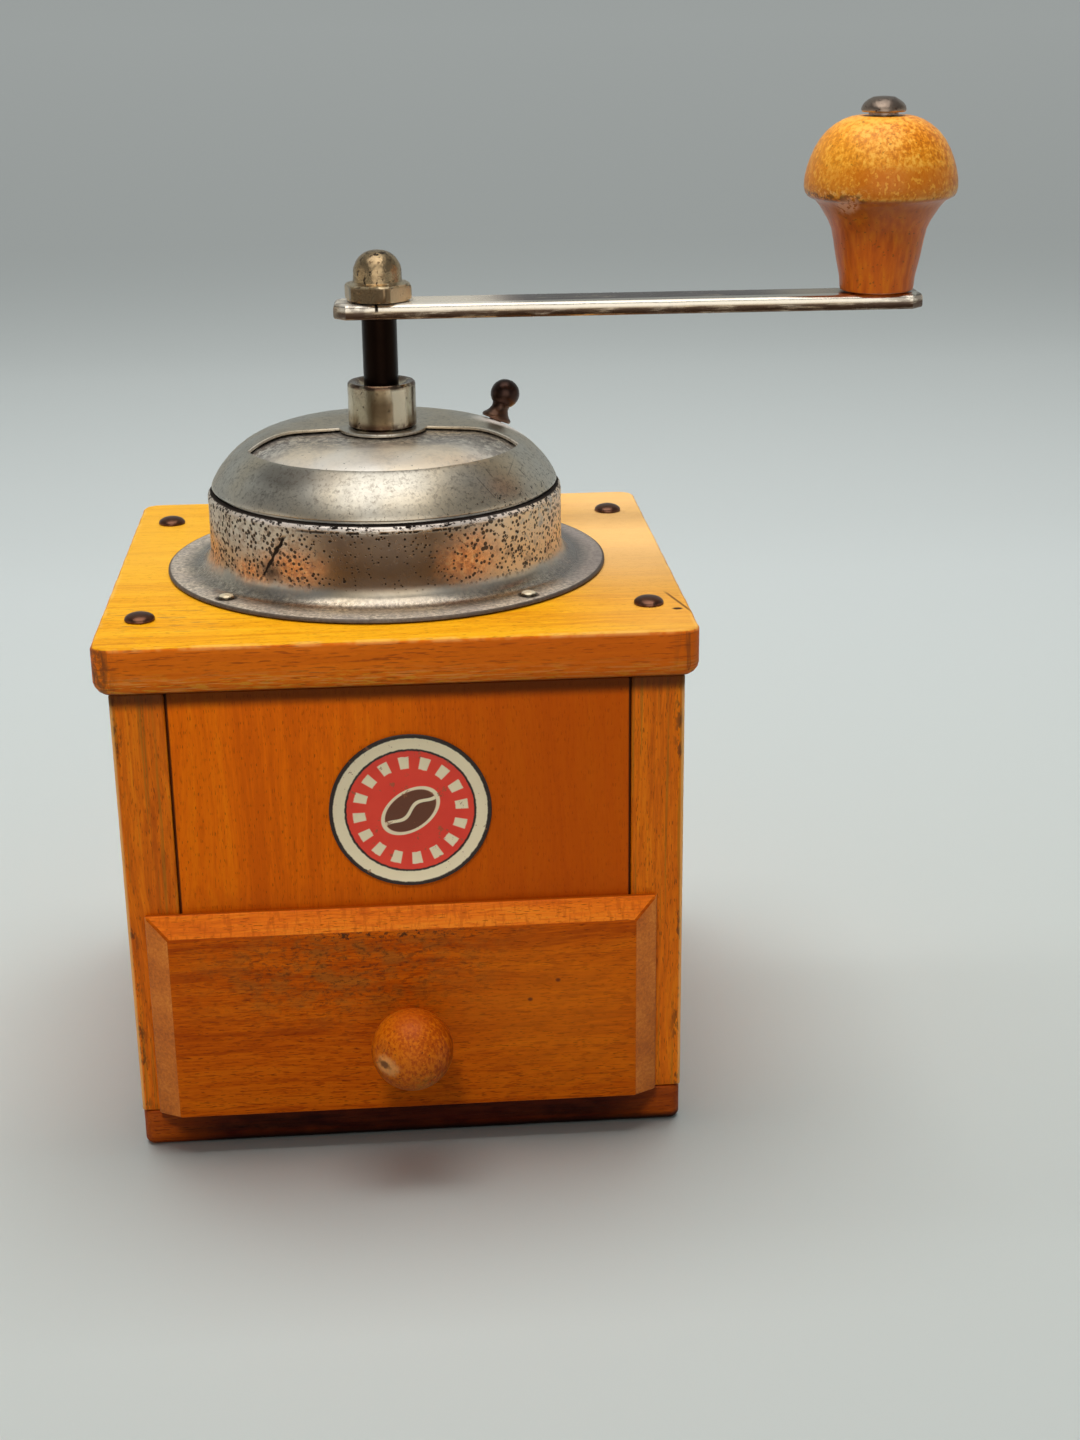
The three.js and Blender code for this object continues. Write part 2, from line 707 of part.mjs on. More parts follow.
// Shaft: it stands on a pivot in the thrust pin's cup and ends in a thread inside the acorn nut
const shaftThreadStep = 1.1;
const spigotTop = 6;
const shaftThreadRadius = shaftRadius - shaftThreadStep;
const armZ = sleeveTopZ + shaftShow;
const armTopZ = armZ + armThickness;
const acornFlats = 14.2;
const acornHexHeight = 3.9;
const acornCapWall = 2.15;
const acornCapHeight = 7.4;
const acornRoof = 3.3;
const acornTurn = 11;
const shaftThreadLength = acornHexHeight + acornCapHeight - acornRoof;

function driveShaft() {
  const pivotTopZ = thrustTopZ + seatGap;
  const spigotTopZ = coneZ + coneHeight + spigotTop;
  const shoulderZ = armZ - seatGap;
  const shaft = turned([
    [0, thrustTopZ - cupDepth + seatGap],
    [pivotRadius, thrustTopZ - cupDepth + seatGap],
    [pivotRadius, pivotTopZ],
    [spigotRadius, pivotTopZ],
    [spigotRadius, spigotTopZ],
    [shaftRadius, spigotTopZ],
    [shaftRadius, shoulderZ],
    [shaftThreadRadius, shoulderZ],
    [shaftThreadRadius, armTopZ + shaftThreadLength],
    [0, armTopZ + shaftThreadLength],
  ], mediumFacets);
  const reach = [-coneBottomRadius, coneBottomRadius];
  return cut(shaft, spoke(conePinRadius + glueGap, reach, conePinZ, 0));
}

// Acorn nut: a hexagon with a domed cap and a blind bore
function acornNut() {
  const z0 = armTopZ + seatGap;
  const hexTopZ = z0 + acornHexHeight;
  const capTopZ = hexTopZ + acornCapHeight;
  const boreRadius = shaftThreadRadius + seatGap;
  const capRadius = boreRadius + acornCapWall;
  const hex = hexagon(acornFlats, [z0, hexTopZ], acornTurn);
  const cap = turned([
    [0, z0],
    [capRadius, z0],
    ...arc([0, capTopZ - capRadius], capRadius, 0, 90, 6),
  ], mediumFacets);
  const boreSpan = [z0 - cutOverrun, armTopZ + shaftThreadLength + seatGap];
  return cut(join(hex, cap), rod(boreRadius, boreSpan, 0, 0, mediumFacets));
}

// Crank arm: a flat bar with clipped corners and rolled edges
const armHubEnd = 10.4;
const armFarEnd = 10.3;
const armClip = 2.6;
const armRoll = 1.1;
const handlePinRadius = 2;

function crankArm() {
  const x0 = armRoll - armHubEnd;
  const x1 = armReach + armFarEnd - armRoll;
  const y1 = armWidth / 2 - armRoll;
  const clip = armClip;
  const outline = [
    [x0, clip - y1], [x0 + clip, -y1], [x1 - clip, -y1], [x1, clip - y1],
    [x1, y1 - clip], [x1 - clip, y1], [x0 + clip, y1], [x0, y1 - clip],
  ];
  const shape = new THREE.Shape(outline.map(([x, y]) => new THREE.Vector2(x, y)));
  const bar = new THREE.ExtrudeGeometry(shape, {
    depth: armThickness - 2 * armRoll,
    bevelEnabled: true,
    bevelThickness: armRoll,
    bevelSize: armRoll,
    bevelSegments: 3,
  }).translate(0, 0, armZ + armRoll);
  const span = [armZ - cutOverrun, armTopZ + cutOverrun];
  const shaftHole = rod(shaftThreadRadius + seatGap, span, 0, 0, mediumFacets);
  return cut(bar, shaftHole, rod(handlePinRadius + seatGap, span, armReach, 0, mediumFacets));
}

// Handle: a turned mushroom. Shares of its radius and height, from the foot up to the flat at the head.
const handleOutlineShares = [
  [0.48, 0], [0.5, 0.02], [0.505, 0.08], [0.535, 0.2], [0.585, 0.31], [0.66, 0.4], [0.75, 0.465],
  [0.875, 0.53], [0.975, 0.555], [1, 0.62], [0.985, 0.7], [0.94, 0.77], [0.86, 0.84], [0.74, 0.905],
  [0.58, 0.96], [0.44, 0.99], [0.34, 1],
];
const handlePinHeadRadius = 5.3;
const handlePinHeadHeight = 3.4;
const handlePinHeadShares = [[0.93, 0], [1, 0.25], [0.85, 0.62], [0.5, 0.92], [0, 1]];
const handlePinCollarRadius = 3.4;
const handlePinCollarHeight = 0.6;
const handlePinTailRadius = 3.3;
const handlePinTailHeight = 1.1;
const handlePinTailChamfer = 1;

function handleKnob() {
  const z0 = armTopZ + seatGap;
  const bore = handlePinRadius + runningGap;
  const outside = handleOutlineShares.map(([r, z]) => [r * handleRadius, z0 + z * handleHeight]);
  return turned([[bore, z0], ...outside, [bore, z0 + handleHeight]], mediumFacets);
}

function handlePin() {
  const woodTopZ = armTopZ + seatGap + handleHeight;
  const collarZ = woodTopZ + seatGap;
  const headZ = collarZ + handlePinCollarHeight;
  const tailZ = armZ - seatGap;
  return turned([
    [0, tailZ - handlePinTailHeight],
    [handlePinTailRadius - handlePinTailChamfer, tailZ - handlePinTailHeight],
    [handlePinTailRadius, tailZ],
    [handlePinRadius, tailZ],
    [handlePinRadius, collarZ],
    [handlePinCollarRadius, collarZ],
    [handlePinCollarRadius, headZ],
    ...headOutline(handlePinHeadShares, handlePinHeadRadius, handlePinHeadHeight, headZ),
  ], mediumFacets);
}

// Drawer: a raised front board with three bevels, and a plain box behind it
const frontLap = 6.7;
const frontShift = -1;
const frontRise = 3;
const frontStandout = 4;
const frontEdge = 1.2;
const sideBevel = 5.2;
const topBevel = 5;
const drawerBlockThickness = 8;
const drawerSideGap = 0.5;
const drawerWall = 5;
const drawerHeadroom = 7;
const drawerBackRoom = 5;
const drawerFloor = 3;
const drawerHalfWidth = bayHalfWidth - drawerSideGap;
const drawerZ = baseThickness + seatGap;
const drawerWallHeight = drawerBayHeight - drawerHeadroom;
const drawerBackY = backY - panelThickness - drawerBackRoom;
const drawerBlockY = frontY + drawerBlockThickness;
const frontBackY = frontY - seatGap;
const frontFaceY = frontBackY - frontStandout;
const ballRadius = 9.2;
const ballStandout = 10;
const ballRise = 20.4;
const ballZ = drawerZ + ballRise;
const ballNeckRadius = 5;
const tenonRadius = 4;
const tenonLength = 8;

function drawerFront() {
  const x0 = frontShift - bayHalfWidth - frontLap;
  const x1 = frontShift + bayHalfWidth + frontLap;
  const topZ = bayTopZ + frontRise;
  const corners = [];
  for (const y of [frontBackY, frontBackY - frontEdge]) {
    corners.push([x0, y, drawerZ], [x1, y, drawerZ], [x0, y, topZ], [x1, y, topZ]);
  }
  for (const x of [x0 + sideBevel, x1 - sideBevel]) {
    corners.push([x, frontFaceY, drawerZ], [x, frontFaceY, topZ - topBevel]);
  }
  const plate = new ConvexGeometry(corners.map((corner) => new THREE.Vector3(...corner)));
  const blockZ = [drawerZ, bayTopZ - drawerSideGap];
  const blockY = [frontBackY - frontEdge / 2, drawerBlockY];
  const inner = block([-drawerHalfWidth, drawerHalfWidth], blockY, blockZ);
  const hole = rod(tenonRadius + glueGap, [0, tenonLength + glueGap + cutOverrun], 0, 0, mediumFacets);
  const lying = hole.rotateX(-Math.PI / 2).translate(0, frontFaceY - cutOverrun, ballZ);
  return cut(join(plate, inner), lying);
}

function drawerSide(side) {
  const xs = [(drawerHalfWidth - drawerWall) * side, drawerHalfWidth * side].sort((a, b) => a - b);
  const ys = [drawerBlockY + glueGap, drawerBackY - drawerWall - glueGap];
  return block(xs, ys, [drawerZ, drawerZ + drawerWallHeight]);
}

function drawerBack() {
  const xs = [-drawerHalfWidth, drawerHalfWidth];
  return block(xs, [drawerBackY - drawerWall, drawerBackY], [drawerZ, drawerZ + drawerWallHeight]);
}

function drawerBottom() {
  const halfWidth = drawerHalfWidth - drawerWall - glueGap;
  const ys = [drawerBlockY + glueGap, drawerBackY - drawerWall - glueGap];
  return block([-halfWidth, halfWidth], ys, [drawerZ + glueGap, drawerZ + glueGap + drawerFloor]);
}

function drawerKnob() {
  const neckStart = THREE.MathUtils.radToDeg(Math.acos(ballNeckRadius / ballRadius));
  const knob = turned([
    [0, glueGap - tenonLength],
    [tenonRadius, glueGap - tenonLength],
    [tenonRadius, glueGap],
    [ballNeckRadius, glueGap],
    ...arc([0, ballStandout], ballRadius, -neckStart, 90, 9),
  ], mediumFacets);
  return knob.rotateX(Math.PI / 2).translate(0, frontFaceY, ballZ);
}

// Badge: a thin round disc on the front panel
const badgeMargin = 7.9;
const badgeRadius = (ceilingZ - bayTopZ - frontRise) / 2 - badgeMargin;
const badgeThickness = 0.4;
const badgeX = 1.5;
const badgeDrop = 3.4;
const badgeZ = (bayTopZ + frontRise + ceilingZ) / 2 - badgeDrop;

function frontBadge() {
  const disc = rod(badgeRadius, [glueGap, glueGap + badgeThickness], 0, 0, fineFacets);
  return disc.rotateX(Math.PI / 2).translate(badgeX, frontY, badgeZ);
}

// Assembly

function buildBox() {
  const box = new THREE.Group();
  box.add(piece('base_board', baseBoard(), beech));
  box.add(piece('left_side_board', sideBoard(-1), beech));
  box.add(piece('right_side_board', sideBoard(1), beech));
  box.add(piece('front_panel', frontPanel(), beech));
  box.add(piece('back_panel', backPanel(), beech));
  box.add(piece('top_board', topBoard(), beechTop));
  box.add(piece('front_badge', frontBadge(), badgePrint));
  screwPlaces.forEach(([x, y], i) => {
    const top = piece(`top_screw_${i + 1}`, topScrew(), brownMetal);
    const base = piece(`base_screw_${i + 1}`, baseScrew(), darkSteel);
    top.position.set(x, y, 0);
    base.position.set(x, y, 0);
    box.add(top, base);
  });
  return box;
}

function buildHopper() {
  const hopper = new THREE.Group();
  hopper.add(piece('hopper_housing', hopperHousing(), dullNickel));
  hopper.add(piece('inner_dome', innerDome(), nickel));
  hopper.add(piece('bearing_sleeve', bearingSleeve(), yellowNickel));
  hopper.add(piece('sleeve_nut', sleeveNut(), dullNickel));
  nailPlaces.forEach(([x, y], i) => {
    const nail = piece(`flange_nail_${i + 1}`, flangeNail(), nickel);
    nail.position.set(x, y, 0);
    hopper.add(nail);
  });
  return hopper;
}

function buildLid() {
  const lid = new THREE.Group();
  lid.add(piece('lid_dome', lidDome(), nickel));
  lid.add(piece('lid_knob', lidKnob(), brownMetal));
  return lid;
}

function buildGrinder() {
  const grinder = new THREE.Group();
  grinder.add(piece('mill_funnel', millFunnel(), castIron));
  grinder.add(piece('burr_ring', burrRing(), castIron));
  grinder.add(piece('bearing_bridge', bearingBridge(), castIron));
  grinder.add(piece('adjusting_nut', adjustingNut(), yellowNickel));
  grinder.add(piece('thrust_pin', thrustPin(), darkSteel));
  [0, 180].forEach((turn, i) => {
    grinder.add(piece(`bridge_rivet_${i + 1}`, bridgeRivet(turn), darkSteel));
    grinder.add(piece(`ring_screw_${i + 1}`, ringScrew(turn + 90), darkSteel));
  });
  return grinder;
}

function buildSpindle() {
  const spindle = new THREE.Group();
  spindle.add(piece('drive_shaft', driveShaft(), darkSteel));
  spindle.add(piece('burr_cone', burrCone(), castIron));
  spindle.add(piece('cone_pin', conePin(), darkSteel));
  spindle.add(piece('crank_arm', crankArm(), yellowNickel));
  spindle.add(piece('acorn_nut', acornNut(), yellowNickel));
  const pin = piece('handle_pin', handlePin(), brownMetal);
  const knob = piece('handle_knob', handleKnob(), turnedWood);
  pin.position.x = armReach;
  knob.position.x = armReach;
  spindle.add(pin, knob);
  spindle.rotation.z = THREE.MathUtils.degToRad(crankRestAngle);
  return spindle;
}

function buildDrawer() {
  const drawer = new THREE.Group();
  drawer.add(piece('drawer_front', drawerFront(), beech));
  drawer.add(piece('drawer_left_side', drawerSide(-1), rawWood));
  drawer.add(piece('drawer_right_side', drawerSide(1), rawWood));
  drawer.add(piece('drawer_back', drawerBack(), rawWood));
  drawer.add(piece('drawer_bottom', drawerBottom(), rawWood));
  drawer.add(piece('drawer_knob', drawerKnob(), turnedWood));
  return drawer;
}

function buildGrinderBox() {
  const group = new THREE.Group();
  const mill = new THREE.Group();
  mill.add(buildHopper(), buildLid(), buildGrinder(), buildSpindle());
  mill.position.x = millX;
  group.add(buildBox(), mill, buildDrawer());
  return group;
}

const group = buildGrinderBox();
export default group;
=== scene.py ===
"""Looks of a manual coffee grinder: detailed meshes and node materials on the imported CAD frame."""

import math
from functools import cached_property

import bmesh
import bpy
from mathutils import Matrix, Vector, noise
from mathutils.geometry import tessellate_polygon


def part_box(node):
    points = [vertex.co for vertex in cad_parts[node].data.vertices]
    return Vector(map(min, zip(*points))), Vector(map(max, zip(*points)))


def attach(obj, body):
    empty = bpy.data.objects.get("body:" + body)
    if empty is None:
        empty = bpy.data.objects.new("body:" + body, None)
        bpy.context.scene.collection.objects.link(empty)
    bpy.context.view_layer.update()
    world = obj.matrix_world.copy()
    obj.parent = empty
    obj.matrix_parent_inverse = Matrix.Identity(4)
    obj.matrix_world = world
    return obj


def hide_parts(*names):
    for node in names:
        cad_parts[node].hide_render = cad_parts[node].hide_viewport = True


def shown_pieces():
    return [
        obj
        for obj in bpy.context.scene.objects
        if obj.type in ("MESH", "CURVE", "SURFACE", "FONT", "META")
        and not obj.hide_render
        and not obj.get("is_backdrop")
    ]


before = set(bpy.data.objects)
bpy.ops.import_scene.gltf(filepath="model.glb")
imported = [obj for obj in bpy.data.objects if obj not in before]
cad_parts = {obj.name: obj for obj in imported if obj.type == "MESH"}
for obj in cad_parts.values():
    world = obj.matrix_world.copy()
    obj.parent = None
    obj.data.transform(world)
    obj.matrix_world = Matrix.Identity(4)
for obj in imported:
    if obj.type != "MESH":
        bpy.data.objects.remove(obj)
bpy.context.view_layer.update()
MM = 0.001


class Box:
    """Lowest and highest corner, middle and size of a CAD node, in millimetres."""

    def __init__(self, node):
        low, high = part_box(node)
        self.low, self.high = low / MM, high / MM
        self.middle = (self.low + self.high) / 2
        self.size = self.high - self.low


# Boxes read from the frame, and the sizes that drive the looks, all in millimetres
deck, base, panel, flank = map(Box, ("top_board", "base_board", "front_panel", "left_side_board"))
lid, hopper, sleeve, knob = map(Box, ("lid_dome", "hopper_housing", "bearing_sleeve", "lid_knob"))
shaft, arm, nut, rivet = map(Box, ("drive_shaft", "crank_arm", "acorn_nut", "handle_pin"))
handle, front, ball, badge = map(Box, ("handle_knob", "drawer_front", "drawer_knob", "front_badge"))
nails = [Box(f"flange_nail_{i}") for i in range(1, 5)]

deck_z = deck.high.z
mill_x = lid.middle.x
rim_z, crown_z = lid.low.z, lid.high.z
lid_radius = lid.size.x / 2
crown_flat = 20.5
moon_radius = lid_radius - 8.5
eye_radius = sleeve.size.x / 2 + 2.3
hopper_radius = lid_radius + 0.9
flange_radius = hopper.size.x / 2
lip_round, sheet, mill_hole = 1.7, 1.0, 36
arm_reach = math.hypot(handle.middle.x - mill_x, handle.middle.y)
arm_turn = math.atan2(handle.middle.y, handle.middle.x - mill_x)
handle_lip_z = handle.low.z + 22
hex_top_z = nut.low.z + 3.9


# Mesh helpers


def ripple(point, size, seed=0.0):
    """Smooth noise from -1 to 1 with features of the given size."""
    return noise.noise(Vector(point) / size + Vector((seed, 2.7 * seed, -seed)))


def arc(centre, radius, start, end, steps):
    """Points of an arc from one angle to another, in degrees."""
    angles = [math.radians(start + (end - start) * i / steps) for i in range(steps + 1)]
    return [(centre[0] + radius * math.cos(a), centre[1] + radius * math.sin(a)) for a in angles]


def lifted(z, outline):
    """An outline whose heights are counted from z."""
    return [(radius, z + height) for radius, height in outline]


def strip(faces, row, other):
    """Joins two closed rows of points with faces. A row of one point is a pole."""
    count = max(len(row), len(other))
    for i in range(count):
        j = (i + 1) % count
        if len(row) == 1:
            faces.append((row[0], other[j], other[i]))
        elif len(other) == 1:
            faces.append((row[i], row[j], other[0]))
        else:
            faces.append((row[i], row[j], other[j], other[i]))


def lathe(outline, turns=72, move=None, bored=False):
    """A turned solid about Z. Each outline point is a radius, or a function of the angle, and a height."""
    points, faces, rows = [], [], []
    for radius, height in outline:
        count = 1 if not callable(radius) and radius < 1e-6 else turns
        rows.append(range(len(points), len(points) + count))
        for i in range(count):
            angle = 2 * math.pi * i / turns
            reach = radius(angle) if callable(radius) else radius
            points.append(Vector((reach * math.cos(angle), reach * math.sin(angle), height)))
    for row, other in zip(rows, rows[1:]):
        strip(faces, row, other)
    if bored:
        strip(faces, rows[-1], rows[0])
    return [move(p) for p in points] if move else points, faces


def rounded_rectangle(half_x, half_y, radius, corner_steps, side_steps):
    """Points round a rectangle with round corners, the same count for any size."""
    points = []
    signs = ((1, -1), (1, 1), (-1, 1), (-1, -1))
    for i, (sx, sy) in enumerate(signs):
        start, centre = -90 + 90 * i, (sx * (half_x - radius), sy * (half_y - radius))
        points += arc(centre, radius, start, start + 90, corner_steps)
        next_x, next_y = signs[(i + 1) % 4]
        next_centre = (next_x * (half_x - radius), next_y * (half_y - radius))
        last, target = Vector(points[-1]), Vector(arc(next_centre, radius, start + 90, 0, 1)[0])
        points += [tuple(last.lerp(target, k / side_steps)) for k in range(1, side_steps)]
    return points


def soft_edges(height, low_round, high_round, middle=3):
    """Insets and heights of a plate's edge, rounded at the bottom and at the top."""
    low = [(low_round - x, low_round - z) for x, z in arc((0, 0), low_round, 90, 0, 4)]
    high = [(high_round - x, height - high_round + z) for x, z in arc((0, 0), high_round, 0, 90, 4)]
    straight = height - high_round - low_round
    return low + [(0, low_round + straight * i / middle) for i in range(1, middle)] + high


def plate(size, corner, edges, wear=0.0, corner_steps=5, side_steps=24, hole=None, seed=1.0):
    """A board lying flat and centred on its plan: edges lists insets and heights from bottom to top.
    wear is how deep the edges are knocked in places, and hole is a radius and the x of its centre."""
    half_x, half_y = size[0] / 2, size[1] / 2
    points, faces, rows = [], [], []
    for inset, height in edges:
        radius = max(corner - inset, 0.05)
        ring = rounded_rectangle(half_x - inset, half_y - inset, radius, corner_steps, side_steps)
        rows.append(range(len(points), len(points) + len(ring)))
        for x, y in ring:
            point = Vector((x, y, height))
            if inset > 0:
                knock = max(0.0, ripple(point, 5.0, seed)) + 0.4 * max(0.0, ripple(point, 1.6, seed))
                point.x -= math.copysign(min(wear * knock, abs(x)), x)
                point.y -= math.copysign(min(wear * knock, abs(y)), y)
            points.append(point)
    for row, other in zip(rows, rows[1:]):
        strip(faces, row, other)
    if hole is None:
        return points, faces + [tuple(reversed(rows[0])), tuple(rows[-1])]
    radius, centre_x = hole
    rims = []
    for row in (rows[0], rows[-1]):
        height = points[row[0]].z
        circle = [Vector((x, y, height)) for x, y in arc((centre_x, 0), radius, 0, 360, 64)[:-1]]
        rim = range(len(points), len(points) + len(circle))
        points += circle
        index = [*row, *rim]
        filled = tessellate_polygon([[points[i] for i in row], circle])
        faces += [tuple(index[k] for k in face) for face in filled]
        rims.append(rim)
    strip(faces, rims[1], rims[0])
    return points, faces


def at(x=0.0, y=0.0, z=0.0):
    return Matrix.Translation((x, y, z))


def about(axis, angle):
    return Matrix.Rotation(angle, 4, axis)


def lying_along(axis):
    """Turns a flat plate so that its thickness runs along an axis, with the plan's y kept upright."""
    if axis == "y":
        return Matrix(((1, 0, 0, 0), (0, 0, -1, 0), (0, 1, 0, 0), (0, 0, 0, 1)))
    return Matrix(((0, 0, 1, 0), (1, 0, 0, 0), (0, 1, 0, 0), (0, 0, 0, 1)))


def moved(shape, matrix):
    points, faces = shape
    return [matrix @ Vector(p) for p in points], faces


def joined(*shapes):
    points, faces = [], []
    for more_points, more_faces in shapes:
        start = len(points)
        points += more_points
        faces += [tuple(start + i for i in face) for face in more_faces]
    return points, faces


def thinned(point, share):
    """A point drawn in towards the Z axis by a share of its distance."""
    return point - Vector((point.x, point.y, 0)) * share


def linked(name, data):
    """A new object in the scene."""
    thing = bpy.data.objects.new(name, data)
    bpy.context.scene.collection.objects.link(thing)
    return thing


def make(name, body, shape, materials, slot, nodes, angle=35, chosen=None):
    """Makes a piece from points in millimetres, lets it ride on a body and stand for its CAD nodes."""
    points, faces = shape
    mesh = bpy.data.meshes.new(name)
    mesh.from_pydata([Vector(p) * MM for p in points], [], faces)
    work = bmesh.new()
    work.from_mesh(mesh)
    bmesh.ops.remove_doubles(work, verts=work.verts, dist=1e-6)
    bmesh.ops.recalc_face_normals(work, faces=work.faces)
    work.to_mesh(mesh)
    work.free()
    mesh.shade_smooth()
    mesh.set_sharp_from_angle(angle=math.radians(angle))
    for material in materials if isinstance(materials, list) else [materials]:
        mesh.materials.append(material)
    if chosen:
        for face in mesh.polygons:
            face.material_index = chosen(face.center / MM, face.normal)
    piece = linked(name, mesh)
    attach(piece, body)
    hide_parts(*nodes)
    return piece


# Materials


def fresh_nodes(owner):
    """The emptied node tree of a material or world."""
    owner.use_nodes = True
    owner.node_tree.nodes.clear()
    return owner.node_tree.nodes, owner.node_tree.links


class Value:
    """A number, place or colour that varies over a surface: a node's output, whose arithmetic adds nodes."""

    def __init__(self, graph, socket):
        self.graph, self.socket = graph, socket

    def __add__(self, other):
        return self.graph.math("ADD", self, other)

    def __sub__(self, other):
        return self.graph.math("SUBTRACT", self, other)

    def __rsub__(self, other):
        return self.graph.math("SUBTRACT", other, self)

    def __mul__(self, other):
        return self.graph.math("MULTIPLY", self, other)

    def __or__(self, other):
        """The greater of the two."""
        return self.graph.math("MAXIMUM", self, other)

    def __abs__(self):
        return self.graph.math("ABSOLUTE", self, 0.0)

    def fade(self, start, end):
        """0 at start and 1 at end, with a smooth step between."""
        ends = (start, end, 0.0, 1.0) if end > start else (end, start, 1.0, 0.0)
        names = ("Value", "From Min", "From Max", "To Min", "To Max")
        inputs = dict(zip(names, (self, *ends)))
        return self.graph.add("ShaderNodeMapRange", inputs, "Result", interpolation_type="SMOOTHSTEP")

    def between(self, a, b):
        """From a where this is 0 to b where it is 1."""
        return self.graph.add("ShaderNodeMix", {0: self, 2: a, 3: b}, 0)

    def ramp(self, *stops):
        """Colours in a row, each given with its position."""
        colours = self.graph.add("ShaderNodeValToRGB", {"Fac": self}, "Color")
        elements = colours.socket.node.color_ramp.elements
        while len(elements) < len(stops):
            elements.new(0.5)
        for element, (position, colour) in zip(elements, stops):
            element.position = position
            element.color = (*colour, 1)
        return colours


class Graph:
    """A material's node tree, with short calls for the nodes used here. Places and sizes are in millimetres.
    colour, rough, height and metallic are what the marks change before they reach the shader."""

    def __init__(self, name):
        self.material = bpy.data.materials.new(name)
        self.nodes, self.links = fresh_nodes(self.material)
        output = self.nodes.new("ShaderNodeOutputMaterial")
        self.shader = self.nodes.new("ShaderNodeBsdfPrincipled")
        self.links.new(self.shader.outputs["BSDF"], output.inputs["Surface"])
        coordinates = self.nodes.new("ShaderNodeTexCoord")
        self.place = self.vector("MULTIPLY", Value(self, coordinates.outputs["Object"]), (1 / MM,) * 3)
        self.normal = Value(self, coordinates.outputs["Normal"])
        self.colour, self.rough, self.height, self.metallic = None, None, None, 1.0

    @cached_property
    def x(self):
        return self.part(self.place, "X")

    @cached_property
    def y(self):
        return self.part(self.place, "Y")

    @cached_property
    def z(self):
        return self.part(self.place, "Z")

    @cached_property
    def up(self):
        """1 where the surface faces up and -1 where it faces down."""
        return self.part(self.normal, "Z")

    def part(self, vector, axis):
        return self.add("ShaderNodeSeparateXYZ", {0: vector}, axis)

    def put(self, socket, value):
        if isinstance(value, Value):
            self.links.new(value.socket, socket)
        elif socket.type == "RGBA":
            socket.default_value = (*value, 1)
        else:
            socket.default_value = value

    def add(self, kind, inputs, output, **settings):
        """A new node with its inputs and settings. Returns the named output."""
        node = self.nodes.new(kind)
        for name, setting in settings.items():
            setattr(node, name, setting)
        for name, value in inputs.items():
            self.put(node.inputs[name], value)
        return Value(self, node.outputs[output])

    def set(self, **values):
        """Sets the shader's own sockets: base_color is Base Color, and so on."""
        for name, value in values.items():
            label = name.replace("_", " ").title().replace("Ior", "IOR")
            self.put(self.shader.inputs[label], value)

    def math(self, operation, a, b=0.0, clamp=False):
        return self.add("ShaderNodeMath", {0: a, 1: b}, 0, operation=operation, use_clamp=clamp)

    def hypot(self, a, b):
        return self.math("SQRT", a * a + b * b)

    def vector(self, operation, a, b=(0, 0, 0)):
        output = "Value" if operation == "LENGTH" else "Vector"
        return self.add("ShaderNodeVectorMath", {0: a, 1: b}, output, operation=operation)

    def scaled(self, size, place, seed):
        """Places for a texture whose features have the given size, shifted by the seed."""
        sizes = size if isinstance(size, tuple) else (size,) * 3
        shift = (seed * 3.1, seed * 7.7, seed * 5.3)
        inputs = {0: place or self.place, 1: tuple(1 / s for s in sizes), 2: shift}
        return self.add("ShaderNodeVectorMath", inputs, 0, operation="MULTIPLY_ADD")

    def noise(self, size, detail=2.0, roughness=0.5, place=None, seed=0.0, colour=False):
        vector = self.scaled(size, place, seed)
        inputs = {"Vector": vector, "Scale": 1.0, "Detail": detail, "Roughness": roughness}
        return self.add("ShaderNodeTexNoise", inputs, "Color" if colour else "Fac")

    def grain(self, size, start, end, detail=3, roughness=0.7, seed=0.0):
        """Noise that fades from 0 at the value start to 1 at the value end: specks, streaks or patches."""
        return self.noise(size, detail, roughness, seed=seed).fade(start, end)

    def cells(self, size, seed):
        """Distance to the nearest of scattered points."""
        inputs = {"Vector": self.scaled(size, None, seed), "Scale": 1.0}
        return self.add("ShaderNodeTexVoronoi", inputs, "Distance")

    def spot(self, centre, radii, soft=0.5, rough=0.0, grain=2.0):
        """1 inside an ellipsoid about centre and 0 outside it, with an edge that noise can break up."""
        away = self.vector("SUBTRACT", self.place, centre)
        away = self.vector("LENGTH", self.vector("MULTIPLY", away, tuple(1 / r for r in radii)))
        if rough:
            away = away + (self.noise(grain, 3) - 0.5) * rough
        return away.fade(1 + soft, 1 - soft)

    def mix(self, factor, a, b):
        return self.add("ShaderNodeMix", {0: factor, 6: a, 7: b}, 2, data_type="RGBA", clamp_factor=True)

    def tint(self, factor, tone):
        """Takes the surface's colour towards a tone."""
        self.colour = self.mix(factor, self.colour, tone)

    def matte(self, factor, metallic):
        """Takes the surface's metallic share towards a value."""
        self.metallic = factor.between(self.metallic, metallic)

    def finish(self, height, relief, **values):
        """Connects the shader. relief is the height of the bumps in millimetres."""
        inputs = {"Height": height, "Distance": relief * MM, "Strength": 1.0}
        self.set(base_color=self.colour, normal=self.add("ShaderNodeBump", inputs, "Normal"), **values)
        return self.material


def scaled_tone(tone, share):
    return tuple(share * c for c in tone)


def along(grain, length, width):
    """Sizes of a feature that is long in the grain's direction."""
    return tuple(length if axis == grain else width for axis in range(3))


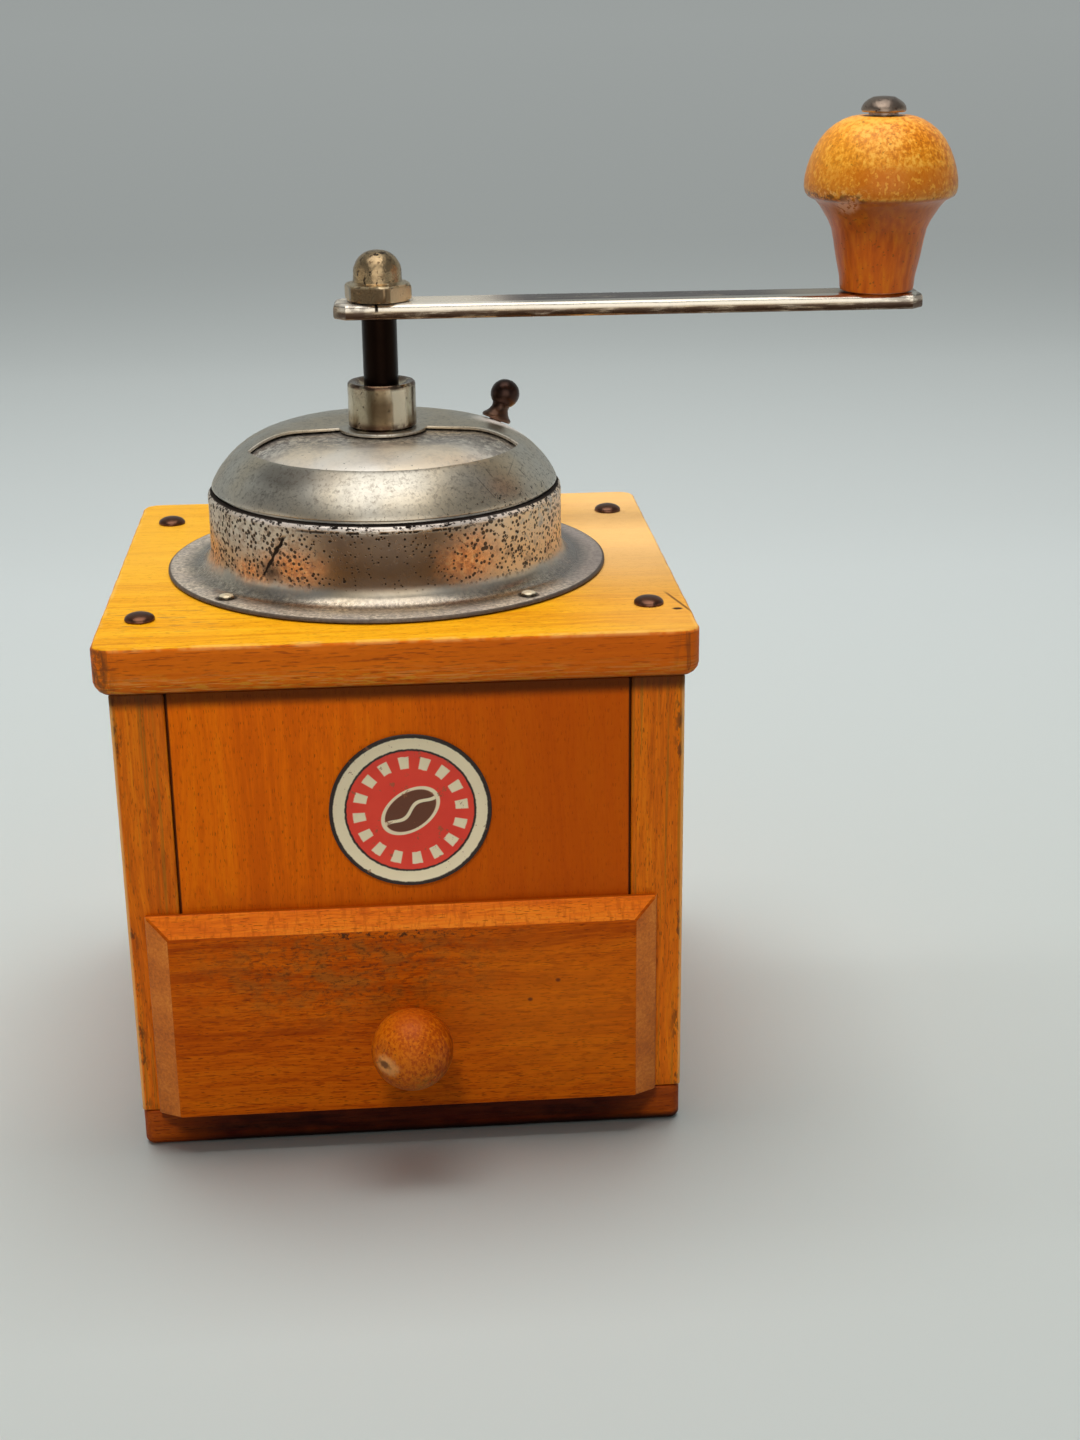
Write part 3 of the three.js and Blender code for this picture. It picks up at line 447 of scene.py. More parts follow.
def wood(name, grain, tones, fleck=0.35, rough=0.42, gloss=0.12, seed=0.0, streak=1.0, marks=None):
    """Varnished beech. grain is the axis it runs along; marks may add stains, and painted light and shade,
    to the colour.
    """
    g = Graph(name)
    sway = g.vector("SUBTRACT", g.noise(along(grain, 70, 26), 2, seed=seed, colour=True), (0.5, 0.5, 0.5))
    bent = g.vector("ADD", g.place, g.vector("MULTIPLY", sway, (9, 9, 9)))
    broad = g.noise(along(grain, 170, 8), 2, 0.5, bent, seed + 1)
    lines = g.noise(along(grain, 80, 1.7 / streak), 3, 0.6, bent, seed + 2)
    fine = g.noise(along(grain, 9, 0.5), 3, 0.65, bent, seed + 3)
    level = broad * 0.33 + (lines * 0.34 + fine * 0.33)
    g.colour = level.ramp(*zip((0.385, 0.5, 0.61), tones))
    g.tint(g.grain(along(grain, 3.4, 0.45), 0.56, 0.68, 1, 0.5, seed=seed + 4) * fleck, tones[0])
    pores = g.grain(along(grain, 1.6, 0.16), 0.7, 0.78, 0, 0.5, seed=seed + 5)
    g.tint(pores * 0.65, scaled_tone(tones[0], 0.35))
    if marks:
        marks(g)
    worn = g.noise(22, 3, seed=seed + 6).between(rough - 0.1, rough + 0.16)
    height = lines * 0.5 + (fine * 0.4 - pores * 0.6)
    return g.finish(height, 0.09, roughness=worn, specular_ior_level=gloss)


def top_marks(g):
    """The lid of the box: a bright yellow top and redder edges, painted as lit and shaded copies of one
    wood; painted light from the left, a painted glare at the right back, a pale worn line along its edges,
    and painted shade along its lower edge.
    """
    x, y, z = g.x, g.y, g.z
    up, lit_top_colour = g.up.fade(0.55, 0.85), g.colour
    # Painted light and shade: the edges get redder, darker tones, and the top face keeps the wood's paler,
    # yellower ones
    g.colour = g.mix(g.noise((30, 30, 1.2), 3, 0.6), (0.6, 0.1, 0.001), (0.86, 0.2, 0.003))
    g.tint(g.grain((4.2, 4.2, 0.42), 0.56, 0.68, 2, 0.5, seed=4) * 0.7, (0.34, 0.055, 0.002))
    pale = g.grain((6, 6, 0.35), 0.5, 0.62, 3, 0.6, seed=10) * z.fade(deck_z - 5, deck.low.z + 2)
    g.tint(pale * 0.65, (0.76, 0.34, 0.08))
    g.tint(g.grain((4.5, 4.5, 0.5), 0.54, 0.6, seed=9) * z.fade(deck_z - 4, deck.low.z), (0.72, 0.3, 0.02))
    g.tint(x.fade(-10, 50) * 0.4, (0.56, 0.085, 0.001))
    g.colour = g.mix(up, g.colour, lit_top_colour)
    # Painted light from the left: paler towards the left and the back; pinker at the right
    g.tint(x.fade(5, -60) * y.fade(-50, 10) * up * 0.5, (0.82, 0.46, 0.05))
    g.tint(x.fade(32, 60) * up * 0.5, (0.76, 0.38, 0.09))
    g.tint(g.grain((60, 2.2, 9), 0.5, 0.62, 3, 0.5, seed=3) * x.fade(36, 52) * up * 0.3, (0.6, 0.26, 0.04))
    # Short dull streaks near the left front corner, and a dark crack at the right front
    near = g.spot((deck.low.x + 13.6, deck.low.y + 19.6, deck_z), (16, 12, 9), 0.5)
    g.tint(g.grain((8, 1.1, 9), 0.6, 0.66, 2, 0.5, seed=8) * near * up, (0.42, 0.2, 0.03))
    g.tint(g.grain((11, 0.9, 9), 0.68, 0.74, 2, 0.5, seed=12) * 0.2 * up, (0.5, 0.24, 0.03))
    # Painted reflection: a pale glare on the top towards the right back
    g.tint(x.fade(10, 55) * y.fade(-45, 5) * up * 0.7, (0.93, 0.58, 0.24))
    crack_x, crack_y = deck.high.x - 2.1, deck.low.y + 21.6
    crack = abs(x + y * 0.24 - (crack_x - 10.2)).fade(0.5, 0.15)
    g.tint(crack * g.spot((crack_x, crack_y, deck_z), (5, 8, 6), 0.3) * 0.8, (0.1, 0.03, 0.01))
    g.tint(g.spot((crack_x - 1, crack_y - 5.3, deck_z), (1.1, 0.8, 2), 0.4), (0.03, 0.01, 0.005))
    # Worn line along the upper edges, grime at the ends, and painted shade along the lower edge
    inside_x, inside_y = deck.high.x - abs(x), deck.high.y - abs(y)
    line = g.math("MINIMUM", inside_x, inside_y).fade(1.5, 0.9) * z.fade(deck_z - 1.1, deck_z - 0.5)
    g.tint(line * g.grain((9, 9, 9), 0.42, 0.6, seed=5) * 0.3, (0.92, 0.56, 0.16))
    ends = inside_x.fade(7, 1) * inside_y.fade(8, 2) * (1.0 - up)
    g.tint(g.grain((1.1, 1.1, 14), 0.52, 0.66, 2, 0.5, seed=6) * ends * 0.75, (0.16, 0.045, 0.012))
    g.tint(ends * x.fade(-40, -62) * g.grain((2, 2, 3), 0.42, 0.56, seed=13) * 0.7, (0.1, 0.04, 0.015))
    # Painted shade along the lower edge of the board
    g.tint(z.fade(deck.low.z + 1.2, deck.low.z + 0.3) * 0.85, (0.11, 0.02, 0.004))


def painted_overhang_shadow(g):
    """Painted shadow right under the top board."""
    g.tint(g.z.fade(deck.low.z - 4.6, deck.low.z - 1.6) * 0.8, (0.11, 0.026, 0.002))


def panel_marks(g):
    """Front panel: darker low down and at the right, a painted shadow under the overhang, and dark joints at
    its sides.
    """
    g.tint(g.z.fade(panel.low.z + 12, panel.low.z) * 0.3, (0.34, 0.05, 0.002))
    g.tint(g.x.fade(-25, 35) * 0.72, (0.5, 0.07, 0.0005))
    painted_overhang_shadow(g)
    g.tint(abs(g.x).fade(panel.high.x - 0.65, panel.high.x - 0.35) * 0.92, (0.02, 0.006, 0.002))


def strip_marks(g):
    """Side boards: green-brown lines, nicks along their upright edges, a painted highlight along those
    edges, and a painted shadow under the overhang.
    """
    g.tint(g.grain(along(2, 60, 1.0), 0.55, 0.66, 3, 0.6, seed=14) * 0.55, (0.36, 0.15, 0.01))
    aside, fore = abs(g.x), abs(g.y)
    edge = aside.fade(base.high.x - 3.2, base.high.x - 0.6) * fore.fade(flank.high.y - 3, flank.high.y - 1)
    places = g.z.fade(deck_z - 38, deck_z - 30) | g.z.fade(deck_z - 48, deck_z - 62)
    nicks = g.grain((1.6, 1.6, 5), 0.54, 0.63, seed=15) * places
    g.tint(edge * nicks * 0.85, (0.1, 0.03, 0.01))
    # Painted highlight: a pale line along each upright front edge, where the rounding catches light
    pale = aside.fade(base.high.x - 0.9, base.high.x - 0.3) * fore.fade(flank.high.y - 1, flank.high.y - 0.4)
    g.tint(pale * 0.8, (0.95, 0.5, 0.16))
    painted_overhang_shadow(g)


def drawer_marks(g):
    """Drawer front: faint slanting figure at the right, and soft grime along the upper middle."""
    wobble = g.noise((18, 26, 14), 2, seed=21) * 16
    bands = g.math("SINE", (g.x * 0.55 - g.z + wobble) * 0.75)
    g.tint(bands.fade(0.1, 1.0) * g.x.fade(2, 24) * 0.2, (0.36, 0.06, 0.003))
    y, top_z = front.low.y, front.high.z
    g.tint(g.spot((33, y, top_z - 26), (24, 9, 14), 0.8, 0.8, 12) * 0.25, (0.9, 0.25, 0.01))
    patch = g.spot((-14, y, top_z - 13), (27, 9, 12), 0.8, 0.9, 9)
    g.tint(patch * g.grain((7, 9, 4), 0.42, 0.62, seed=23) * 0.5, (0.3, 0.12, 0.015))
    edge = g.spot((-6, y, top_z - 5), (27, 9, 2.4), 0.7, 0.7, 6)
    specks = g.grain((1.5, 9, 0.9), 0.5, 0.64, 3, 0.75, seed=22)
    g.tint(specks * (patch * 0.6 | edge * 0.95), (0.07, 0.028, 0.008))
    for dot_x, depth in ((27.2, 23.4), (33.6, 18.8)):
        g.tint(g.spot((dot_x, y, top_z - depth), (0.55, 4, 0.45), 0.5) * 0.75, (0.06, 0.02, 0.01))


def bevel_marks(g):
    """Bevels of the drawer front: short redder strokes, and a darker top."""
    g.tint(g.grain((1.2, 6, 3.5), 0.5, 0.64, seed=24) * 0.5, (0.56, 0.09, 0.001))
    g.tint(g.up.fade(0.8, 0.97) * 0.9, (0.36, 0.06, 0.001))


def base_marks(g):
    """Base board: nearly black red in the middle of its front, its own dark red deepened by a painted shadow
    under the drawer front, and a black painted shade along that front's lower edge.
    """
    # The front's middle: its own dark red, deepened by a painted shadow under the drawer front
    face = g.y.fade(base.low.y + 6, base.low.y + 2)
    broken = g.noise((9, 9, 3), 3, 0.6, seed=31).between(1.25, 0.55)
    tones = ((0.36, (0.02, 0.001, 0.0005)), (0.62, (0.09, 0.007, 0.001)))
    middle = g.math("MULTIPLY", abs(g.x).fade(60, 42), broken, clamp=True)
    g.tint(face * middle, g.noise((40, 40, 2), 3, 0.6, seed=32).ramp(*tones))
    # Painted shade along the front's lower edge, stronger towards the right
    under = g.z.fade(base.low.z + 2.6, base.low.z + 1.0) * g.x.fade(-60, -36) * face
    g.tint(under * 0.9, (0.008, 0.003, 0.001))


def end_grain(name, tones):
    """Matt end grain: close specks with no streaks."""
    g = Graph(name)
    specks = g.noise(0.7, 3, 0.7, seed=2)
    g.colour = (g.noise(9, 3) * 0.5 + specks * 0.5).ramp(*zip((0.34, 0.52, 0.68), tones))
    return g.finish(specks, 0.08, roughness=specks.between(0.5, 0.8), specular_ior_level=0.3)


def turned_wood(name, tones, cap_z, coat, seed, marks, grain_size=1.05):
    """Lathe-turned knob: end-grain specks above cap_z and long grain below it."""
    g = Graph(name)
    specks = g.noise((grain_size, grain_size, 1.4 * grain_size), 3, 0.7, seed=seed + 1)
    soft = g.noise(11, 2, seed=seed + 2)
    long_grain = g.noise((1.5, 1.5, 16), 3, 0.6, seed=seed)
    below = g.z.fade(cap_z + 0.3, cap_z - 0.6)
    cap_colour = (specks * 0.75 + soft * 0.25).ramp(*zip((0.4, 0.49, 0.58), tones))
    g.colour = g.mix(below, cap_colour, long_grain.ramp(*zip((0.34, 0.52, 0.7), tones[3:])))
    g.tint(g.grain(0.85, 0.66, 0.74, 1, 0.5, seed=seed + 3) * 0.7, scaled_tone(tones[0], 0.35))
    marks(g)
    return g.finish(below.between(specks, long_grain), 0.12, roughness=soft.between(0.36, 0.5),
                    specular_ior_level=0.1, coat_weight=coat, coat_roughness=0.3)


def handle_marks(g):
    """Handle: yellower at the left, a redder band over the lip that is painted shade, painted shade under
    the lip, pale bruises on the lip and one scuff.
    """
    x, z, lip_z = g.x, g.z, handle_lip_z
    over_lip = z.fade(lip_z, lip_z + 1)
    g.tint(x.fade(arm_reach + 4, arm_reach - 16) * z.fade(lip_z, lip_z + 3) * 0.28, (0.92, 0.42, 0.03))
    # Painted shade: a darker, redder band over the lip, strongest in the middle
    middle = abs(x - (arm_reach - 1)).fade(15, 7)
    g.tint(z.fade(lip_z + 8.5, lip_z + 5.5) * over_lip * middle.between(0.4, 0.85), (0.62, 0.15, 0.001))
    grains = g.grain((1.0, 1.0, 1.3), 0.55, 0.63, 2, 0.6, seed=34)
    g.tint(grains * z.fade(lip_z + 11, lip_z + 5) * over_lip * 0.5, (0.96, 0.5, 0.06))
    lip = z.fade(lip_z - 0.6, lip_z + 0.4) * z.fade(lip_z + 3.4, lip_z + 1.2)
    sides = x.fade(arm_reach - 5, arm_reach - 14) | x.fade(arm_reach + 5, arm_reach + 13)
    g.tint(lip * g.grain((1.3, 1.3, 1.0), 0.53, 0.62, seed=36) * sides.between(0.25, 0.8), (0.9, 0.48, 0.12))
    # Painted shade on the neck right under the lip
    g.tint(z.fade(lip_z - 9, lip_z - 1) * z.fade(lip_z + 0.6, lip_z - 0.4) * 0.55, (0.24, 0.075, 0.01))
    chipped = g.grain(1.3, 0.48, 0.56, 2, 0.6, seed=39) * x.fade(arm_reach - 7, arm_reach - 10)
    chipped = chipped * z.fade(lip_z - 1.5, lip_z - 0.5) * z.fade(lip_z + 1.6, lip_z + 0.6)
    g.tint(chipped * 0.8, (0.14, 0.04, 0.01))
    scuff = g.spot((arm_reach - 11.5, handle.low.y + 5, lip_z - 1.6), (2.2, 6, 2.0), 0.4, 0.7, 1.6)
    g.tint(scuff * g.grain(1.0, 0.4, 0.5, 2, 0.5, seed=38) * 0.8, (0.74, 0.36, 0.2))


def ball_marks(g):
    """Ball: a dark nick with a pale rim at the left, and olive specks low down at the right."""
    y, z = ball.low.y, ball.middle.z
    g.tint(g.spot((-5.6, y + 3.0, z - 0.3), (2.6, 4.0, 2.0), 0.4, 1.0, 1.2) * 0.5, (0.8, 0.42, 0.14))
    g.tint(g.spot((-6.2, y + 3.4, z - 0.1), (1.3, 3.0, 0.8), 0.4, 1.2, 1.0) * 0.85, (0.09, 0.03, 0.01))
    low = g.z.fade(z + 0.3, z - 6.7) * g.x.fade(-4, 4) * g.grain(1.1, 0.46, 0.58, seed=41)
    g.tint(low * 0.55, (0.3, 0.17, 0.02))
    g.tint(g.spot((-0.5, y + 6, z + 8.3), (4, 6, 1.6), 0.5, 0.6, 2) * 0.5, (0.5, 0.09, 0.006))


def metal(name, tone, rough, dark=(0.05, 0.035, 0.025), dirt=0.3, pits=0.0, pit_size=1.0, brushed=None,
          seed=0.0, marks=None, relief=0.03):
    """Old nickel or steel: cloudy tarnish, optional pits and scratches. dirt and pits are from 0 to 1."""
    g = Graph(name)
    clouds = g.noise(11, 4, 0.6, seed=seed)
    fine = g.noise(1.1, 3, 0.7, seed=seed + 1)
    warm_tone = tuple(c * s for c, s in zip(tone, (1.02, 0.93, 0.8)))
    g.colour = g.mix(g.grain(19, 0.35, 0.65, 2, 0.5, seed=seed + 2), tone, warm_tone)
    tarnish = (clouds * 0.6 + fine * 0.4).fade(0.46, 0.66) * dirt
    g.tint(tarnish, tuple(0.35 * a + 0.65 * b for a, b in zip(tone, dark)))
    g.height, g.rough = fine, clouds.between(*rough)
    if brushed:
        lines = g.noise(brushed, 2, 0.6, seed=seed + 3)
        g.tint(lines.fade(0.5, 0.68) * 0.3, scaled_tone(tone, 0.5))
        g.height = fine * 0.5 + lines * 0.5
    if pits:
        holes = g.grain(pit_size, 0.66 - 0.12 * pits, 0.7 - 0.1 * pits, 3, 0.62, seed=seed + 4)
        g.tint(holes, dark)
        g.height = g.height - holes * 1.5
    if marks:
        marks(g)
    return g.finish(g.height, relief, metallic=g.metallic, roughness=g.rough)


def round_axis(g):
    """Degrees about the mill's axis, from the front towards the right, and the distance from the axis."""
    x = g.x - mill_x
    return g.math("ARCTAN2", x, g.y * -1.0) * (180 / math.pi), g.hypot(x, g.y)


def wall_patch(g, turn, at_turn, at_height, wide, high, grain, seed):
    """A soft ragged patch about a place on the hopper wall, given in degrees and in height over the deck."""
    reach = g.hypot((turn - at_turn) * (1 / wide), (g.z - (deck_z + at_height)) * (1 / high))
    return (reach + (g.noise(grain, 3, 0.65, seed=seed) - 0.5) * 1.3).fade(1.6, 0.1)


def wall_marks(g):
    """Housing: the wall's tarnish and painted reflection, then its pits, crack and rolled lip with a painted
    highlight, and the flange.
    """
    turn, away = round_axis(g)
    aside = abs(turn)
    wall = g.z.fade(deck_z + 3.6, deck_z + 6.0)
    sides = aside.fade(12, 34) * aside.fade(100, 70)
    lip_z = hopper.high.z - lip_round
    wall_tarnish(g, turn, aside, wall, sides, lip_z)
    wall_pits(g, turn, aside, wall, sides, lip_z)
    flange_marks(g, turn, away)


def wall_tarnish(g, turn, aside, wall, sides, lip_z):
    """Brown in the middle of the wall, partly tarnish and partly a painted reflection of the dark ground in
    front, brown low down, rusty patches, and pale nickel at both sides.
    """
    z = g.z
    # Partly tarnish, partly a painted reflection of the dark ground in front: brown in the front middle of
    # the wall
    middle = aside.fade(34, 14) * wall * z.fade(lip_z + 0.6, lip_z - 1.0)
    g.tint(middle * g.noise(7, 3, 0.6, seed=50).between(0.5, 1.0) * 0.85, (0.2, 0.12, 0.075))
    low = z.fade(lip_z - 2, deck_z + 7) * wall * 0.5
    g.tint(low, (0.3, 0.19, 0.12))
    # More of the painted reflection: darker still right in the front middle
    g.tint(aside.fade(26, 10) * z.fade(lip_z - 2, deck_z + 8) * wall * 0.75, (0.13, 0.105, 0.085))
    patches = ((27, 11, 10, 5.5), (-76, 7, 11, 4.5), (72, 10, 12, 6.5), (-48, 6, 8, 2.5))
    rust = wall_patch(g, turn, -31, 9, 9, 4.2, 3.5, 60)
    for k, patch in enumerate(patches):
        rust = rust | wall_patch(g, turn, *patch, 3.5, 61 + k)
    rust = rust * 0.9 | g.grain((13, 13, 9), 0.52, 0.64, 3, 0.6, seed=66) * aside.fade(84, 96) * low
    tones = ((0.36, (0.5, 0.17, 0.05)), (0.52, (0.84, 0.37, 0.12)), (0.66, (0.98, 0.62, 0.3)))
    g.tint(rust, g.noise(1.1, 3, 0.75, seed=95).ramp(*tones))
    g.matte(rust, 0.35)
    stipple = g.grain((1.6, 1.6, 1.6), 0.44, 0.62, seed=69)
    g.tint(sides * wall * stipple * turn.fade(10, 30).between(0.6, 0.25), (0.3, 0.19, 0.12))
    bright = sides * wall * turn.fade(24, 44) * g.grain(2.4, 0.32, 0.52, seed=94) * 0.8
    g.tint(bright, (1.0, 0.72, 0.42))
    g.matte(bright, 0.45)
    g.matte(sides * wall * 0.3, 0.0)


def wall_pits(g, turn, aside, wall, sides, lip_z):
    """Fine round pits, dense at the sides, and a few larger ones; one crack; the lip, pale with a painted
    highlight, and chipped.
    """
    z = g.z
    dense = g.math("ADD", sides * 0.8, z.fade(lip_z - 9, lip_z - 1).between(0.12, 0.42), clamp=True)
    crowd = g.grain((6, 6, 4), 0.36, 0.64, 3, 0.6, seed=70)
    size = (dense * crowd.between(0.55, 1.0)).between(0.12, 0.43)
    fine = (g.cells(1.15, 52) - size).fade(0.06, -0.02)
    clump = g.grain((1.5, 1.5, 1.2), 0.6, 0.65, seed=53) * dense
    coarse = (g.cells(3.2, 57) - crowd.between(0.0, 0.13)).fade(0.04, -0.02)
    pits = (fine | clump | coarse * 0.9) * wall * 0.88
    # The crack runs down to the left and ends in a dark blob
    crack_z = deck_z + 15
    slope = turn + (crack_z - z) * 0.9 + (g.noise(1.8, 3, seed=54) - 0.5) * 2.4
    crack = abs(slope + 34).fade(0.95, 0.4) * z.fade(crack_z + 1.6, crack_z + 0.4)
    crack = crack * z.fade(crack_z - 9.6, crack_z - 8.6)
    blob = wall_patch(g, turn, -39, 7.4, 4.2, 1.9, 1.6, 57) * 0.8
    # The rolled lip is pale, a painted highlight strongest at the front, and chipped in places, with a dark
    # broken line under it
    lip = z.fade(lip_z - 0.1, lip_z + 0.7)
    kept = aside.fade(60, 36).between(0.3, 0.85)
    g.tint(lip * kept, (0.9, 0.8, 0.73))
    g.matte(lip * kept * 0.35, 0.0)
    chips = lip * g.grain((2.6, 2.6, 1.2), 0.56, 0.6, seed=55)
    under = abs(z - (lip_z - 0.1)).fade(0.42, 0.15) * 0.9
    under = under * g.grain((2.2, 2.2, 3), 0.46, 0.52, seed=59) * aside.fade(40, 20)
    seam = z.fade(hopper.high.z - 0.62, hopper.high.z - 0.36)
    pits = pits | crack | blob | seam | (chips | under)
    g.tint(pits, (0.02, 0.013, 0.01))
    g.rough = pits.between(g.rough, 0.85)
    g.height = g.height - pits * 3.0


def flange_marks(g, turn, away):
    """The flange is duller and paler than the wall, with dark rings at the nails and a dark rim."""
    flat = g.z.fade(deck_z + 4.2, deck_z + 1.6)
    tones = ((0.36, (0.22, 0.18, 0.14)), (0.5, (0.54, 0.45, 0.35)), (0.64, (0.84, 0.72, 0.57)))
    worn = g.grain(9, 0.4, 0.62, 3, 0.6, seed=58)
    dull = g.mix(worn * 0.35, g.noise(0.85, 3, 0.75, seed=56).ramp(*tones), (0.34, 0.3, 0.29))
    g.tint(flat * 0.85, dull)
    outer = away.fade(hopper_radius + 3, hopper_radius + 8)
    g.rough = flat.between(g.rough, outer.between(0.26, 0.44))
    g.matte(flat * outer * 0.5, 0.0)
    g.tint(flat * turn.fade(35, 80) * 0.6, (0.27, 0.22, 0.22))
    for nail in nails:
        ring = g.spot((nail.middle.x, nail.middle.y, deck_z + 1), (2.5, 2.5, 4), 0.12, 0.3, 2)
        g.tint(ring * 0.9, (0.03, 0.02, 0.015))
    g.tint(away.fade(flange_radius - 0.75, flange_radius - 0.35) * 0.85, (0.05, 0.03, 0.02))


def dome_marks(g):
    """Dome: a fine mottle all over, scratches at the right, and specks towards the rim."""
    x, z = g.x, g.z
    turn, away = round_axis(g)
    band = away.fade(30, 36) * z.fade(rim_z + 1, rim_z + 4)
    g.tint(g.grain(1.3, 0.5, 0.66, 4, 0.75, seed=60) * band.between(0.18, 0.5), (0.24, 0.19, 0.15))
    for lean, seed in ((0.9, 61), (-0.8, 63)):
        fine = abs(g.math("FRACT", (x + z * lean) * 0.31) - 0.5).fade(0.06, 0.02)
        scratch = fine * g.grain((7, 7, 5), 0.54, 0.62, seed=seed) * x.fade(4, 16) * away.fade(29, 33)
        g.tint(scratch * 0.55, (0.16, 0.13, 0.1))
    foot = g.spot((knob.low.x + 3.5, knob.low.y - 1.5, knob.low.z), (7, 5, 5), 0.4, 0.8, 5)
    g.tint(foot * 0.9, (0.82, 0.74, 0.68))
    g.matte(foot * 0.8, 0.0)
    g.tint(g.spot((mill_x - 22, -27, rim_z + 8), (13, 8, 2.2), 0.5, 1.2, 6) * 0.5, (0.14, 0.11, 0.09))
    g.tint(g.grain(0.9, 0.56, 0.68, 2, seed=74) * 0.4, (0.16, 0.13, 0.1))
    low = z.fade(rim_z + 9, rim_z + 1)
    limit = (turn.fade(8, 40) * low).between(low.between(0.76, 0.66), 0.58)
    speck = (g.noise(1.0, 3, 0.7, seed=62) - limit).fade(0.0, 0.03)
    g.tint(speck * 0.85, (0.03, 0.02, 0.015))
    g.height = g.height - speck * 2.0
    edge = z.fade(rim_z + 0.6, rim_z + 0.1) * away.fade(lid_radius - 3, lid_radius - 1)
    g.tint(edge * 0.9, (0.04, 0.03, 0.02))


def moon_marks(g):
    """Fixed dome: brown-grey mottled patches, more of them towards the far edge."""
    x, y = g.x, g.y
    g.metallic = y.fade(-12, -24).between(0.85, 0.62)
    g.tint(y.fade(-21, -9) * g.grain(1.5, 0.42, 0.6, 4, 0.75, seed=64) * 0.8, (0.15, 0.11, 0.1))
    g.tint(g.grain((7, 5, 5), 0.46, 0.6, 4, seed=65) * y.fade(-24, -12) * 0.5, (0.22, 0.16, 0.14))
    g.tint(x.fade(12, 26) * g.grain(3, 0.46, 0.6, 4, seed=67) * 0.5, (0.12, 0.09, 0.08))
    g.tint(g.grain(1.0, 0.68, 0.72, 2, 0.6, seed=68) * 0.6, (0.06, 0.045, 0.04))


def nail_marks(g):
    """Nail: a bright crown and a dark rim, painted shade where the head slopes away."""
    # Painted shade on the sloping rim of the head
    rim = g.up.fade(0.9, 0.6)
    g.tint(rim * 0.9, (0.05, 0.035, 0.025))
    g.metallic = rim.between(0.55, 1.0)


def collar_marks(g):
    """Collar: a brown upper edge, and a painted reflection: a dark middle with an upright bright stripe at
    each side of it.
    """
    z, top_z, brown = g.z, sleeve.high.z, (0.2, 0.14, 0.075)
    turn = round_axis(g)[0] + (g.noise((2, 2, 9), 3, 0.7, seed=90) - 0.5) * 16
    # Painted reflection from here on: the dark brown middle and the bright upright stripes beside it
    g.tint(turn.fade(-34, -20) * turn.fade(16, 4) * 0.85, brown)
    g.tint(turn.fade(56, 64) * turn.fade(100, 90) * 0.6, brown)
    painted_reflection_stripes = abs(turn - 31).fade(17, 9) | abs(turn + 68).fade(12, 4) * 0.5
    bright = painted_reflection_stripes * z.fade(top_z - 0.6, top_z - 1.4)
    g.tint(bright * 0.8, (0.92, 0.8, 0.6))
    g.metallic = bright.between(1.0, 0.55)
    worn = g.grain((2.4, 2.4, 2.0), 0.36, 0.52, seed=91)
    edges = z.fade(top_z - 1.3, top_z - 0.5) * worn | z.fade(crown_z + 2.2, crown_z + 0.9) * worn
    g.tint(edges * 0.85, (0.11, 0.055, 0.035))


def nut_marks(g):
    """Nut: a painted highlight as a bright line round the foot of its cap, and a dark brown face at the
    left.
    """
    z, foot_z = g.z, hex_top_z
    hexagon = z.fade(foot_z - 0.3, foot_z - 0.9)
    g.tint(hexagon * 0.7, (0.76, 0.57, 0.36))
    g.tint(hexagon * (g.x + g.y * 0.14).fade(0.6, 0.2) * g.y.fade(-2, -4) * 0.75, (0.14, 0.08, 0.035))
    # Painted highlight: a bright broken line round the foot of the cap
    line = z.fade(foot_z - 0.6, foot_z - 0.2) * z.fade(foot_z + 0.5, foot_z + 0.1)
    g.tint(line * g.grain(1.2, 0.4, 0.5, seed=92) * 0.8, (0.8, 0.66, 0.44))
    creases = g.grain((1.4, 1.4, 2.4), 0.55, 0.62, 3, 0.75, seed=93) * z.fade(foot_z + 0.3, foot_z + 1)
    g.tint(creases * 0.75, (0.07, 0.04, 0.02))


def knob_marks(g):
    """Lid knob: nearly black ball on a browner waist and foot."""
    g.tint(g.z.fade(knob.low.z + 6, knob.low.z + 2.5) * 0.8, (0.2, 0.11, 0.075))


def arm_marks(g):
    """Crank arm: a painted highlight along the front corner, a brown front face that is a painted reflection
    of the dark ground, a purplish top and a dark slit by the nut.
    """
    x, y, z, top_z = g.x, g.y, g.z, arm.high.z
    top = z.fade(top_z - 0.7, top_z - 0.2)
    near = top * x.fade(36, 24)
    g.tint(near * 0.8, (0.86, 0.78, 0.64))
    g.metallic = near.between(1.0, 0.55)
    patch = g.grain((14, 4, 9), 0.32, 0.44, 3, 0.6, seed=71)
    g.tint(top * patch * x.fade(18, 34) * x.fade(100, 84) * 0.92, (0.09, 0.045, 0.05))
    # Painted reflection of the dark ground in front: the lower front face dark brown
    face = z.fade(arm.low.z + 2.0, arm.low.z + 1.5) * y.fade(-3, -5)
    g.tint(face * g.grain((7, 7, 0.7), 0.3, 0.5, 3, 0.65, seed=72) * 0.9, (0.1, 0.052, 0.033))
    # Painted highlight along the rounded front corner
    corner = z.fade(arm.low.z + 1.7, arm.low.z + 2.3) * y.fade(-4, -5.4)
    g.tint(corner * 0.8, (0.9, 0.84, 0.74))
    g.rough = corner.between(g.rough, 0.2)
    slit = abs(x - (mill_x - 0.5)).fade(0.5, 0.25) * y.fade(-3.5, -4.5) * z.fade(top_z - 2, top_z - 1.4)
    g.tint(slit, (0.02, 0.015, 0.01))
    ends = x.fade(2, -6) | x.fade(112, 120)
    g.tint(ends * g.grain((3, 3, 1.2), 0.42, 0.56, 3, 0.5, seed=73) * 0.55, (0.12, 0.08, 0.065))


